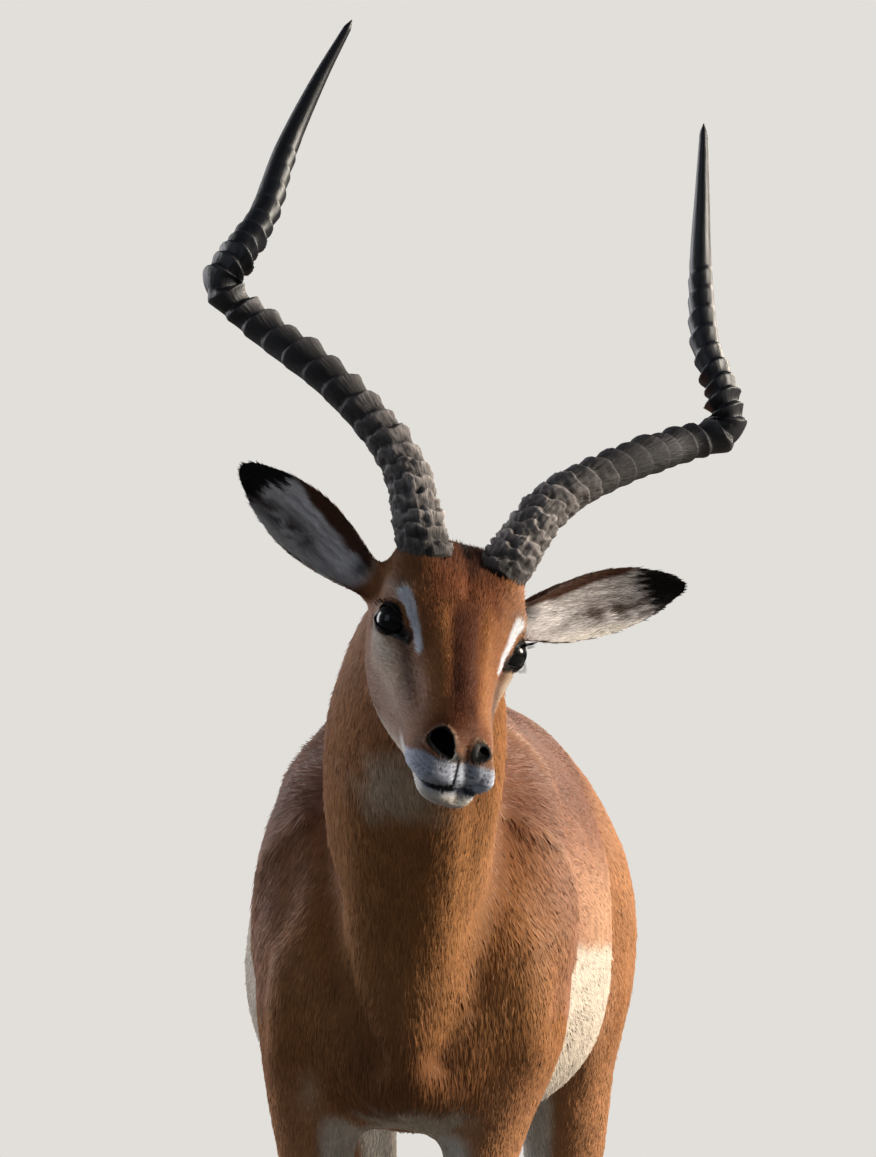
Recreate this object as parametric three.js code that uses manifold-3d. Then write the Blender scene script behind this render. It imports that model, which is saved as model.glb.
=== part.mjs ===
// Impala ram, life size, standing with its head raised and turned a little to its left.
// Millimetres. +X is the animal's left, -Y is where it faces, +Z is up, and the floor is z = 0.
// The flesh is one solid, joined from lofts and then parted by thin flat cuts.
import * as THREE from 'three';
import { mergeVertices } from 'three/addons/utils/BufferGeometryUtils.js';
import Module from 'manifold-3d';

const wasm = await Module();
wasm.setup();

// ---------------------------------------------------------------- driving sizes
const PART_GAP = 0.3;             // slit between neighbouring pieces
const WITHERS_HEIGHT = 905;       // top of the shoulders
const HOOF_HEIGHT = 40;           // sole to the hair line
const HOOF_LENGTH = 66;
const CLAW_WIDTH = 20;
const DEWCLAW_RADIUS = 5.5;
const EYE_RADIUS = 17;
const EYE_SINK = 14;              // from the lid plane back to the eyeball's centre
const EAR_LENGTH = 145;
const EAR_WIDTH = 54;
const EAR_THICKNESS = 4;
const HORN_BASE_RADIUS = 19;
const HORN_RING_HEIGHT = 3.2;
const TAIL_WIDTH = 44;

const HEAD_PLACE = new THREE.Vector3(52.5, -680, 916.4);   // midway between the eyes
const HEAD_PITCH = THREE.MathUtils.degToRad(13.6);         // nose down
const HEAD_ROLL = THREE.MathUtils.degToRad(15.1);          // crown toward the animal's left
const HEAD_YAW = THREE.MathUtils.degToRad(18.4);           // face toward the animal's left
const FACE_SLOPE = THREE.MathUtils.degToRad(21);           // long axis of the skull under the eye line

// ---------------------------------------------------------------- small helpers
const vec = (x, y, z) => new THREE.Vector3(x, y, z);
const bump = (distance, reach) => Math.exp(-((distance / reach) ** 2));
const sharpened = (value, power) => Math.sign(value) * Math.abs(value) ** power;

// Rows of numbers, eased from one to the next, at `count` even steps of the row number.
function easedRows(rows, count) {
  const places = rows.map((_, index) => index);
  const track = new THREE.CubicInterpolant(places, rows.flat(), rows[0].length);
  return Array.from({ length: count }, (_, step) =>
    Array.from(track.evaluate((step * (rows.length - 1)) / (count - 1))));
}

// A closed ring of points about a centre: `across` and `above` are the two half axes, and
// `below` takes the place of `above` on the underside. Above 2, `fullness` squares the ring off.
function ovalRing(centre, across, above, below, sides, fullness = 2, fullnessBelow = fullness) {
  return Array.from({ length: sides }, (_, side) => {
    const turn = (2 * Math.PI * side) / sides;
    const power = 2 / (Math.sin(turn) > 0 ? fullness : fullnessBelow);
    const level = sharpened(Math.sin(turn), power);
    return centre.clone()
      .addScaledVector(across, sharpened(Math.cos(turn), power))
      .addScaledVector(level > 0 ? above : below, Math.abs(level));
  });
}

function signedVolume(points, faces) {
  let six = 0;
  for (const [a, b, c] of faces) {
    six += points[a].dot(points[b].clone().cross(points[c]));
  }
  return six / 6;
}

// A closed solid through rings that all have the same number of points.
function loft(rings) {
  const sides = rings[0].length;
  const points = rings.flat();
  const faces = [];
  for (let ring = 0; ring + 1 < rings.length; ring += 1) {
    for (let side = 0; side < sides; side += 1) {
      const next = (side + 1) % sides;
      const low = ring * sides;
      const high = low + sides;
      faces.push([low + side, low + next, high + next], [low + side, high + next, high + side]);
    }
  }
  for (const end of [0, rings.length - 1]) {
    const middle = rings[end].reduce((sum, point) => sum.add(point), vec(0, 0, 0)).divideScalar(sides);
    points.push(middle);
    for (let side = 0; side < sides; side += 1) {
      const here = end * sides + side;
      const next = end * sides + ((side + 1) % sides);
      faces.push(end === 0 ? [points.length - 1, next, here] : [points.length - 1, here, next]);
    }
  }
  const outward = signedVolume(points, faces) > 0;
  const geometry = new THREE.BufferGeometry();
  geometry.setAttribute('position', new THREE.Float32BufferAttribute(points.flatMap((p) => p.toArray()), 3));
  geometry.setIndex(faces.flatMap(([a, b, c]) => (outward ? [a, b, c] : [a, c, b])));
  return geometry;
}

function toSolid(source) {
  const geometry = source.clone();
  geometry.deleteAttribute('normal');
  geometry.deleteAttribute('uv');
  const merged = mergeVertices(geometry, 1e-4);
  const vertProperties = new Float32Array(merged.attributes.position.array);
  const triVerts = new Uint32Array(merged.index.array);
  return new wasm.Manifold(new wasm.Mesh({ numProp: 3, vertProperties, triVerts }));
}

function toGeometry(solid) {
  const { vertProperties, triVerts } = solid.getMesh();
  const geometry = new THREE.BufferGeometry();
  geometry.setAttribute('position', new THREE.BufferAttribute(new Float32Array(vertProperties), 3));
  geometry.setIndex(new THREE.BufferAttribute(new Uint32Array(triVerts), 1));
  geometry.computeVertexNormals();
  return geometry;
}

// Everything on the side of a plane that its normal points to, moved `inset` along the normal.
function halfSpace(point, normal, inset = 0) {
  const reach = 4000;
  const direction = normal.clone().normalize();
  const block = new THREE.BoxGeometry(reach, reach, reach);
  block.translate(0, 0, reach / 2 + inset);
  block.applyQuaternion(new THREE.Quaternion().setFromUnitVectors(vec(0, 0, 1), direction));
  block.translate(point.x, point.y, point.z);
  return toSolid(block);
}

// Parts a solid along planes: returns what lies inside all of them, and the rest.
function part(solid, planes) {
  const region = (inset) => planes
    .map(([point, normal]) => halfSpace(point, normal, inset))
    .reduce((sum, space) => sum.intersect(space));
  return [solid.intersect(region(PART_GAP / 2)), solid.subtract(region(-PART_GAP / 2))];
}

// ---------------------------------------------------------------- trunk
// [y, top, bottom, half width, height of the widest level, fullness of the underside]
const TRUNK_ROWS = [
  [-428, 690, 595, 24, 645, 2],
  [-412, 730, 562, 50, 650, 2],
  [-380, 788, 542, 80, 660, 2],
  [-325, 850, 534, 100, 672, 2],
  [-262, 893, 530, 112, 684, 2.1],
  [-195, WITHERS_HEIGHT, 530, 123, 688, 2.1],
  [-115, 893, 532, 138, 680, 2.3],
  [-25, 879, 538, 149, 670, 2.5],
  [65, 874, 548, 149, 668, 2.5],
  [150, 877, 566, 143, 680, 2.4],
  [230, 887, 592, 128, 712, 2.2],
  [310, 896, 622, 116, 758, 2],
  [375, 889, 645, 102, 772, 2],
  [425, 866, 680, 76, 776, 2],
  [452, 832, 722, 40, 775, 2],
];
const BACK_FULLNESS = 1.88;
const BARREL_MIDDLE = 75;         // place of the fullest part of the ribs, along Y
const BARREL_REACH = 150;
const BARREL_SWAY = -9.9;         // the barrel bends a little toward the animal's right,
const BARREL_LEAN = 19;           // and its top leans back over the feet
const BARREL_FULLNESS = 0.3;      // added to the fullness of the back there

function trunk() {
  const rings = easedRows(TRUNK_ROWS, 19).map(([y, top, bottom, halfWidth, widest, bellyFullness]) => {
    const barrel = bump(y - BARREL_MIDDLE, BARREL_REACH);
    return ovalRing(vec(BARREL_SWAY * barrel, y, widest), vec(halfWidth, 0, 0),
      vec(BARREL_LEAN * barrel, 0, top - widest), vec(0, 0, bottom - widest), 16,
      BACK_FULLNESS + BARREL_FULLNESS * barrel, bellyFullness);
  });
  return toSolid(loft(rings));
}

// ---------------------------------------------------------------- neck
// [x, top edge y, top edge z, throat edge y, throat edge z, half width]
const NECK_ROWS = [
  [0, -150, 885, -330, 570, 66],
  [0, -235, 902, -418, 632, 66],
  [5, -325, 918, -452, 688, 72],
  [11, -405, 938, -494, 742, 74],
  [19, -475, 962, -541, 786, 67],
  [28, -535, 982, -588, 818, 57],
  [37, -582, 988, -622, 838, 47],
  [41, -608, 982, -642, 852, 40],
];

function neck() {
  const rings = easedRows(NECK_ROWS, 12).map(([x, topY, topZ, throatY, throatZ, halfWidth]) => {
    const centre = vec(x, (topY + throatY) / 2, (topZ + throatZ) / 2);
    const above = vec(0, (topY - throatY) / 2, (topZ - throatZ) / 2);
    return ovalRing(centre, vec(halfWidth, 0, 0), above, above.clone().negate(), 16);
  });
  return toSolid(loft(rings));
}

// ---------------------------------------------------------------- legs
// [z, distance from the midline, y, half width, half depth]
const FORELEG_ROWS = [
  [866, 56, -214, 15, 34],
  [812, 78, -230, 27, 68],
  [752, 91, -252, 33, 92],
  [696, 93, -278, 35, 103],
  [644, 90, -294, 36, 98],
  [600, 84, -299, 36, 82],
  [560, 75, -298, 35, 62],
  [520, 67, -300, 32, 46],
  [470, 64, -305, 26, 35],
  [420, 63, -310, 21, 27],
  [375, 63, -313, 19, 22],
  [342, 63, -315, 20, 21],
  [314, 63, -314, 18.5, 20],
  [284, 63, -312, 14, 16],
  [235, 63, -312, 12, 14],
  [175, 64, -314, 11.5, 13.5],
  [135, 64, -316, 13.5, 16],
  [108, 64, -320, 16.5, 18.5],
  [84, 65, -328, 14.5, 15.5],
  [60, 65, -338, 15, 16],
  [HOOF_HEIGHT, 65, -347, 18.5, 21],
];
const HIND_LEG_ROWS = [
  [872, 48, 345, 16, 44],
  [822, 70, 336, 39, 82],
  [770, 88, 326, 47, 105],
  [718, 97, 312, 50, 114],
  [668, 99, 298, 48, 110],
  [620, 95, 286, 44, 96],
  [580, 89, 288, 39, 78],
  [540, 87, 305, 37, 62],
  [500, 84, 328, 33, 50],
  [460, 79, 352, 27, 40],
  [422, 74, 378, 21, 32],
  [392, 71, 399, 18.5, 29],
  [362, 70, 413, 19.5, 27],
  [332, 70, 415, 17.5, 22],
  [298, 70, 412, 14.5, 17.5],
  [245, 70, 407, 13, 15.5],
  [188, 70, 402, 12.5, 15],
  [140, 70, 396, 14, 16.5],
  [112, 71, 390, 17, 19],
  [88, 71, 382, 15, 16],
  [62, 71, 371, 15.5, 16.5],
  [HOOF_HEIGHT, 71, 361, 18.5, 21],
];
const STRIDE_TOP = 700;           // a leg set forward or back leaves the body below this height
// One entry a leg: its side, its rows, and how far its foot is set back and out from even.
const LEGS = [
  { name: 'foreleg_left', side: 1, rows: FORELEG_ROWS, setBack: -16, setOut: -14, fore: true },
  { name: 'foreleg_right', side: -1, rows: FORELEG_ROWS, setBack: 18, setOut: 9, fore: true },
  { name: 'hind_leg_left', side: 1, rows: HIND_LEG_ROWS, setBack: 14, setOut: 0, fore: false },
  { name: 'hind_leg_right', side: -1, rows: HIND_LEG_ROWS, setBack: -18, setOut: 0, fore: false },
];

// Middle of a leg at a height; the setting back grows to the floor, and the setting out ends above
// the elbow.
function legCentre(leg, [z, out, y]) {
  const back = leg.setBack * Math.max(0, 1 - z / STRIDE_TOP);
  const aside = leg.setOut * THREE.MathUtils.smoothstep(STRIDE_TOP - z, 80, 180);
  return vec(leg.side * (out + aside), y + back, z);
}

function legSolid(leg) {
  const rings = leg.rows.map((row) => {
    const [, , , halfWidth, halfDepth] = row;
    return ovalRing(legCentre(leg, row), vec(halfWidth, 0, 0), vec(0, -halfDepth, 0),
      vec(0, halfDepth, 0), 11, 2.1);
  });
  return toSolid(loft(rings));
}

function legPlanes(leg) {
  const { side } = leg;
  const outOfMiddle = [vec(side * 8, 0, 0), vec(side, 0, 0)];
  if (leg.fore) {
    return [outOfMiddle, [vec(side * 38, 0, 548), vec(side * 0.72, 0, -0.69)],
      [vec(0, -398, 0), vec(0, 1, 0)], [vec(0, -200, 0), vec(0, -1, 0)]];
  }
  return [outOfMiddle, [vec(side * 14, 0, 640), vec(side * 0.757, 0, -0.653)],
    [vec(0, 178, 0), vec(0, 1, 0)], [vec(0, 470, 0), vec(0, -1, 0)]];
}

// ---------------------------------------------------------------- hooves
// One claw of a cloven hoof, its flat sole on the floor and its toe pointing forward.
function claw(leg, clawSide) {
  const foot = legCentre(leg, leg.rows[leg.rows.length - 1]);
  const halfWidth = CLAW_WIDTH / 2;
  const top = HOOF_HEIGHT - PART_GAP;
  const heel = foot.y + 24;
  const outward = clawSide * (halfWidth + 0.8);
  const rings = [0, 0.5, 1].map((rise) => {
    const toe = THREE.MathUtils.lerp(heel - HOOF_LENGTH, foot.y - 20, rise);
    const back = THREE.MathUtils.lerp(heel, foot.y + 21, rise);
    const spread = halfWidth * (1 - 0.12 * rise);
    return Array.from({ length: 10 }, (_, side) => {
      const turn = (2 * Math.PI * side) / 10;
      const along = Math.cos(turn);
      const pointed = along > 0 ? 1 - 0.45 * along ** 2 : 1;
      return vec(foot.x + outward + clawSide * 1.5 * (1 - rise) * along + spread * Math.sin(turn) * pointed,
        (toe + back) / 2 - ((back - toe) / 2) * along, rise * top);
    });
  });
  return toSolid(loft(rings));
}

// A small spare claw behind the fetlock.
function dewclaw(leg, clawSide, growth) {
  const fetlock = leg.rows[leg.rows.length - 4];
  const halfDepth = fetlock[4];
  const centre = legCentre(leg, fetlock).add(vec(clawSide * 9.5, halfDepth - 2, -9));
  const rings = [-1, 1].map((level) => {
    const reach = DEWCLAW_RADIUS * (1 + 0.25 * level) + growth;
    const thickness = vec(0, reach, 0);
    return ovalRing(centre.clone().add(vec(0, -2.5 * level, level * (8 + growth))),
      vec(0.9 * reach, 0, 0), thickness, thickness.clone().negate(), 6);
  });
  return toSolid(loft(rings));
}

// ---------------------------------------------------------------- tail
// [y, z, half width, half thickness]
const TAIL_ROWS = [
  [420, 842, 17, 14],
  [452, 836, 17, 14],
  [474, 800, 0.4 * TAIL_WIDTH, 14],
  [484, 740, 0.44 * TAIL_WIDTH, 14],
  [488, 670, TAIL_WIDTH / 2, 16],
  [487, 610, 0.43 * TAIL_WIDTH, 15],
  [484, 568, 0.23 * TAIL_WIDTH, 9],
  [482, 548, 3, 3],
];

function tailSolid() {
  const rows = easedRows(TAIL_ROWS, 11);
  const rings = rows.map(([y, z, halfWidth, halfThickness], index) => {
    const before = rows[Math.max(0, index - 1)];
    const after = rows[Math.min(rows.length - 1, index + 1)];
    const along = vec(0, after[0] - before[0], after[1] - before[1]).normalize();
    const outward = vec(0, -along.z, along.y).multiplyScalar(halfThickness);
    return ovalRing(vec(0, y, z), vec(halfWidth, 0, 0), outward, outward.clone().negate(), 10);
  });
  return toSolid(loft(rings));
}

// ---------------------------------------------------------------- head
// The head is laid out in its own frame: origin midway between the eyes, X to its left, Y back,
// Z up. Its long axis slopes down by FACE_SLOPE, and "ahead" and "height" are taken along it.
const headPose = new THREE.Matrix4().compose(
  HEAD_PLACE,
  new THREE.Quaternion().setFromEuler(new THREE.Euler(HEAD_PITCH, HEAD_ROLL, HEAD_YAW, 'ZYX')),
  vec(1, 1, 1),
);
const ahead = vec(0, -Math.cos(FACE_SLOPE), -Math.sin(FACE_SLOPE));
const height = vec(0, -Math.sin(FACE_SLOPE), Math.cos(FACE_SLOPE));
const fromFace = (x, along, level) =>
  vec(x, 0, 0).addScaledVector(ahead, along).addScaledVector(height, level);
const posed = (point) => point.clone().applyMatrix4(headPose);
const posedDirection = (direction) => direction.clone().transformDirection(headPose);

// [ahead, top, bottom, half width of crown, height of crown's edge, half width of orbits, cheeks, jaw]
const HEAD_ROWS = [
  [-106, 4, -52, 16, 0, 28, 28, 16],
  [-88, 30, -84, 32, 25, 44, 44, 25],
  [-62, 43, -100, 43, 47, 53, 49, 28],
  [-38, 43, -105, 42, 47, 55, 49, 28],
  [-14, 42, -103, 38, 38, 57, 48, 27],
  [4, 37, -99, 34, 31, 57, 46, 25],
  [22, 32, -93, 30, 27, 50, 43, 24],
  [42, 27, -86, 25, 22, 41, 40, 23],
  [66, 22, -77, 20, 17, 34, 37, 22],
  [92, 16, -68, 17, 12, 30.5, 35, 21],
  [116, 11, -60, 16, 7, 29, 33.5, 20],
  [136, 6, -54, 16, 2, 29, 32, 19],
  [150, 1, -51, 15, -3, 28, 30, 17],
  [160, -5, -50, 11, -8, 24.5, 26, 15],
  [167, -14, -46, 5, -15, 14, 15, 8],
];
const FACE_SIDES = 24;
const ORBIT_LEVEL = 0.27;         // levels as a share of the head's height, from the top down
const CHEEK_LEVEL = 0.6;
const JAW_LEVEL = 0.9;

// How far the bone and muscle stand out beyond the plain section.
function faceRelief(along, level) {
  const brow = 4 * bump(along + 4, 17) * bump(level - 22, 9);
  const cheekbone = 2 * bump(along - 14, 30) * bump(level + 24, 8);
  const tearHollow = -3 * bump(along - 36, 14) * bump(level + 2, 14);
  const nostrilDent = -4 * bump(along - 161, 6) * bump(level + 15, 5);
  return brow + cheekbone + tearHollow + nostrilDent;
}

function headSolid() {
  const rings = easedRows(HEAD_ROWS, 25).map((row) => {
    const [along, top, bottom, crown, crownHeight, orbit, cheek, jaw] = row;
    const levelAt = (share) => top + (bottom - top) * share;
    const right = [
      vec(crown, crownHeight, 0),
      vec(orbit, levelAt(ORBIT_LEVEL), 0),
      vec(cheek, levelAt(CHEEK_LEVEL), 0),
      vec(jaw, levelAt(JAW_LEVEL), 0),
    ];
    const left = right.map((point) => vec(-point.x, point.y, 0)).reverse();
    const outline = new THREE.CatmullRomCurve3([vec(0, top, 0), ...right, vec(0, bottom, 0), ...left], true);
    return outline.getPoints(FACE_SIDES).slice(0, FACE_SIDES).map((point) => {
      const side = Math.sign(Math.round(point.x * 100) / 100);
      return posed(fromFace(point.x + side * faceRelief(along, point.y), along, point.y));
    });
  });
  return toSolid(loft(rings));
}

const headPlanes = [[posed(vec(0, 66, -35)), posedDirection(vec(0, -0.908, 0.419))]];

// ---------------------------------------------------------------- eyes
const LID_PLACE = vec(55, -7, 2);                          // middle of the left eye's opening
const GAZE = vec(0.84, -0.53, 0.1).normalize();            // the way the left eye looks

function eyeball(side, growth) {
  const centre = LID_PLACE.clone().addScaledVector(GAZE, -EYE_SINK);
  centre.x *= side;
  const sphere = new THREE.SphereGeometry(EYE_RADIUS + growth, 12, 8);
  sphere.rotateZ(Math.PI / 2);
  sphere.translate(centre.x, centre.y, centre.z);
  sphere.applyMatrix4(headPose);
  return toSolid(sphere);
}

// ---------------------------------------------------------------- ears
const EAR_ROOT = vec(57, 62, 15);
// Each ear's tip and the way its cup opens, in the head's frame of a mirrored left ear.
const EARS = [
  { name: 'ear_left', side: 1, lean: vec(0.131, 0.027, 0.064), opening: vec(-0.15, -1, -0.1), lowest: 905 },
  { name: 'ear_right', side: -1, lean: vec(0.1, 0.088, 0.045), opening: vec(0.24, -0.96, 0.14), lowest: 950 },
];
// [share of the length, share of the full half width, half angle of the rolled section]
const EAR_ROWS = [
  [-0.12, 0.5, 125],
  [0, 0.56, 122],
  [0.12, 0.68, 112],
  [0.26, 0.86, 96],
  [0.42, 0.99, 80],
  [0.58, 1, 70],
  [0.74, 0.84, 62],
  [0.87, 0.6, 55],
  [0.96, 0.34, 50],
  [1, 0.13, 45],
];

function earAxes(ear) {
  const along = ear.lean.clone().normalize();
  const opening = ear.opening.clone().normalize();
  opening.addScaledVector(along, -opening.dot(along)).normalize();
  return { along, opening, across: along.clone().cross(opening) };
}

function earSolid(ear) {
  const { along, opening, across } = earAxes(ear);
  const steps = 6;
  const rings = EAR_ROWS.map(([share, width, rollDegrees]) => {
    const roll = THREE.MathUtils.degToRad(rollDegrees);
    const radius = ((EAR_WIDTH / 2) * width) / Math.sin(Math.min(roll, Math.PI / 2));
    const bow = 10 * share ** 2;
    const centre = EAR_ROOT.clone().addScaledVector(along, share * EAR_LENGTH)
      .addScaledVector(opening, bow + 0.35 * radius);
    const surface = (turn, depth) => centre.clone()
      .addScaledVector(across, (radius + depth) * Math.sin(turn))
      .addScaledVector(opening, -(radius + depth) * Math.cos(turn));
    const thickness = (turn) => EAR_THICKNESS * (1 - 0.55 * (turn / roll) ** 2) * Math.min(1, 0.45 + width);
    const outer = [];
    const inner = [];
    for (let step = 0; step <= steps; step += 1) {
      const turn = roll * ((2 * step) / steps - 1);
      outer.push(surface(turn, 0));
      inner.unshift(surface(turn, -thickness(turn)));
    }
    return [...outer, ...inner].map((point) => posed(point.multiply(vec(ear.side, 1, 1))));
  });
  return toSolid(loft(rings));
}

function earPlanes(ear) {
  const { along } = earAxes(ear);
  const mirror = vec(ear.side, 1, 1);
  const root = EAR_ROOT.clone().addScaledVector(along, 13).multiply(mirror);
  return [[posed(root), posedDirection(along.clone().multiply(mirror))],
    [posed(vec(ear.side * 54, 0, 0)), posedDirection(vec(ear.side, 0, 0))],
    [vec(0, -548, 0), vec(0, -1, 0)], [vec(0, 0, ear.lowest), vec(0, 0, 1)]];
}

// ---------------------------------------------------------------- horns
// The left horn's centre line in the head's frame: out and back, a tight elbow, then up and in.
const HORN_LINE = new THREE.CatmullRomCurve3([
  vec(35.4, 39.7, 60.6),
  vec(62.2, 73.2, 109.7),
  vec(115, 118.6, 144.9),
  vec(180.2, 191.9, 168),
  vec(211, 206, 186),
  vec(203, 218, 211),
  vec(185, 246, 241),
  vec(173, 287, 291),
  vec(160, 308, 348),
  vec(147.1, 318.9, 398.4),
]);
const HORN_SINK = 22;             // length of the horn's root inside the skull
const HORN_COLLAR = 22;           // plain length above it, part of it under the hair of the crown
const FIRST_RING = 0.048;         // shares of the horn's length
const LAST_RING = 0.68;
const HORN_SIDES = 11;

// Rings stand close at the root and again past the elbow, and widest apart between the two.
const ringPitch = (share) => 0.023 + 0.024 * bump(share - 0.33, 0.16);
const ringCrest = (share) => HORN_RING_HEIGHT * (0.7 + 0.5 * bump(share - 0.4, 0.2))
  * Math.min(1, (LAST_RING + 0.02 - share) / 0.15);

// Radius of the horn's core at even shares of its length, as a share of its radius at the root.
const HORN_TAPER = [1, 0.82, 0.73, 0.6, 0.41, 0.058];
const hornTaper = new THREE.CubicInterpolant(HORN_TAPER.map((_, step) => step / 5), HORN_TAPER, 1);
const hornRadius = (share) => HORN_BASE_RADIUS * hornTaper.evaluate(share)[0];

// The right horn turns in a little more sharply than the left one at the elbow.
const hornDrift = (side, share) => (side < 0 ? -2.5 * bump(share - 0.57, 0.07) : 0);

function hornRing(point, tangent, radius, crest) {
  const front = vec(0, -1, 0).addScaledVector(tangent, tangent.y).normalize();
  const inner = front.clone().cross(tangent);
  return Array.from({ length: HORN_SIDES }, (_, side) => {
    const turn = (2 * Math.PI * side) / HORN_SIDES;
    const facing = 0.35 + 0.65 * (0.5 + 0.5 * Math.cos(turn - 0.6));
    const reach = radius + crest * facing;
    return point.clone()
      .addScaledVector(front, 1.06 * reach * Math.cos(turn))
      .addScaledVector(inner, 0.96 * reach * Math.sin(turn));
  });
}

function hornRoot(growth) {
  const start = HORN_LINE.getPointAt(0);
  const tangent = HORN_LINE.getTangentAt(0);
  return [-HORN_SINK - growth, HORN_COLLAR].map((along) =>
    hornRing(start.clone().addScaledVector(tangent, along), tangent, HORN_BASE_RADIUS - 1 + growth, 0));
}

function hornSolid(side) {
  const rings = hornRoot(0);
  const addRing = (share, crest) => {
    const point = HORN_LINE.getPointAt(share);
    point.x += hornDrift(side, share);
    rings.push(hornRing(point, HORN_LINE.getTangentAt(share), hornRadius(share), crest));
  };
  for (let share = FIRST_RING; share < LAST_RING; share += ringPitch(share)) {
    addRing(share, 0);
    addRing(share + 0.7 * ringPitch(share), ringCrest(share));
  }
  for (const share of [0.73, 0.78, 0.83, 0.88, 0.93, 0.97, 1]) addRing(share, 0);
  const mirrored = rings.map((ring) => ring.map((point) => posed(point.multiply(vec(side, 1, 1)))));
  return toSolid(loft(mirrored));
}

function hornSocket(side) {
  const rings = hornRoot(PART_GAP).map((ring) =>
    ring.map((point) => posed(point.multiply(vec(side, 1, 1)))));
  return toSolid(loft(rings));
}

// ---------------------------------------------------------------- joining and parting
let flesh = trunk().add(neck()).add(headSolid());
for (const leg of LEGS) flesh = flesh.add(legSolid(leg));
for (const ear of EARS) flesh = flesh.add(earSolid(ear));
flesh = flesh.add(tailSolid());

const pieces = {};
for (const leg of LEGS) [pieces[leg.name], flesh] = part(flesh, legPlanes(leg));
for (const ear of EARS) [pieces[ear.name], flesh] = part(flesh, earPlanes(ear));
[pieces.tail, flesh] = part(flesh, [[vec(0, 453, 0), vec(0, 1, 0)]]);
[pieces.head, flesh] = part(flesh, headPlanes);
[pieces.neck, pieces.trunk] = part(flesh, [[vec(0, -370, 783), vec(0, -0.878, 0.478)]]);

for (const [suffix, side] of [['left', 1], ['right', -1]]) {
  pieces.head = pieces.head.subtract(eyeball(side, PART_GAP)).subtract(hornSocket(side));
  pieces[`eye_${suffix}`] = eyeball(side, 0);
  pieces[`horn_${suffix}`] = hornSolid(side);
}
for (const leg of LEGS) {
  const foot = leg.name.replace('_left', '').replace('_right', '') + (leg.side > 0 ? '_left' : '_right');
  for (const [suffix, clawSide] of [['outer', leg.side], ['inner', -leg.side]]) {
    pieces[`hoof_${foot}_${suffix}`] = claw(leg, clawSide);
    pieces[`dewclaw_${foot}_${suffix}`] = dewclaw(leg, clawSide, 0);
    pieces[leg.name] = pieces[leg.name].subtract(dewclaw(leg, clawSide, PART_GAP));
  }
}

// ---------------------------------------------------------------- materials and nodes
const coat = { color: 0x9a5a30, roughness: 0.85, metalness: 0 };
const LOOKS = [
  [/^eye/, { color: 0x0d0a09, roughness: 0.08, metalness: 0 }],
  [/^horn/, { color: 0x3a332f, roughness: 0.5, metalness: 0 }],
  [/^(hoof|dewclaw)/, { color: 0x1c1917, roughness: 0.45, metalness: 0 }],
  [/^ear/, { color: 0xa9998c, roughness: 0.85, metalness: 0 }],
  [/./, coat],
];

const impala = new THREE.Group();
for (const [name, solid] of Object.entries(pieces)) {
  const [, look] = LOOKS.find(([pattern]) => pattern.test(name));
  const mesh = new THREE.Mesh(toGeometry(solid), new THREE.MeshStandardMaterial(look));
  mesh.name = name;
  impala.add(mesh);
}

// The frame's origin is the middle of the bounding box, on the floor.
const box = new THREE.Box3().setFromObject(impala);
const middle = box.getCenter(vec(0, 0, 0));
impala.position.set(-middle.x, -middle.y, -box.min.z);
impala.updateMatrixWorld(true);

export default impala;
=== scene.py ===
import contextlib
import functools
import itertools
import math

import bpy
import numpy as np
from mathutils import Matrix, Vector
from mathutils.bvhtree import BVHTree


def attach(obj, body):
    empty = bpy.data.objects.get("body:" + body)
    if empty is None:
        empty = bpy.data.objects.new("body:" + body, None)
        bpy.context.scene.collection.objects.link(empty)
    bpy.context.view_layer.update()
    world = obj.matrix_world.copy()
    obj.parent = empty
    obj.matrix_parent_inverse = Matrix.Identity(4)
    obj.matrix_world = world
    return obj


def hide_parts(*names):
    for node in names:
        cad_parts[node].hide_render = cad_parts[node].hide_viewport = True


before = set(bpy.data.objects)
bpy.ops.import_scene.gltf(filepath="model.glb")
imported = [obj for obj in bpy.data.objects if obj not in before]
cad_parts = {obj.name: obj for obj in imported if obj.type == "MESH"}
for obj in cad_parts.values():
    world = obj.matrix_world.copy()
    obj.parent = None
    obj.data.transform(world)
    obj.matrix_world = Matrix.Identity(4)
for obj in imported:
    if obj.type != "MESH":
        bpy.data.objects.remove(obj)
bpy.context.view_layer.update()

MM = 0.001
dice = np.random.default_rng(7)
HILLS = dice.uniform(-1, 1, 4093)

# ---------------------------------------------------------------- places and sizes
SIDES = {"left": 1, "right": -1}
MIDLINE = -53.95  # the body's middle plane, millimetres
LEGS = [f"{leg}_{side}" for leg in ("foreleg", "hind_leg") for side in SIDES]
FLESH = ["head", "neck", "trunk", "tail", "ear_left", "ear_right"] + LEGS
KINDS = ["head", "neck", "trunk", "tail", "ear", "ear"] + ["leg"] * len(LEGS)
HEAD, NECK, TRUNK, TAIL, EAR_LEFT, EAR_RIGHT = range(6)  # places in FLESH
EAR_NODES = ((EAR_LEFT, "left"), (EAR_RIGHT, "right"))
LEG_NODES, HIND_NODES = range(6, 10), range(8, 10)

HEAD_PLACE = np.array([-0.00146, -0.52554, 0.9164])  # midway between the eyes
HEAD_PITCH, HEAD_ROLL, HEAD_YAW = (math.radians(angle) for angle in (13.6, 15.1, 18.4))
HEAD_TURN = np.array(
    Matrix.Rotation(HEAD_YAW, 3, "Z")
    @ Matrix.Rotation(HEAD_ROLL, 3, "Y")
    @ Matrix.Rotation(HEAD_PITCH, 3, "X")
)
FACE_SLOPE = math.radians(21)  # long axis of the skull under the eye line

EYE_RADIUS = 17
LID_PLACE = np.array([55, -7, 2])  # middle of the left eye's opening, head frame
GAZE = np.array([0.84, -0.53, 0.1]) / np.linalg.norm([0.84, -0.53, 0.1])
EYE_SINK = 14
EYE_CENTRE = LID_PLACE - EYE_SINK * GAZE

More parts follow.
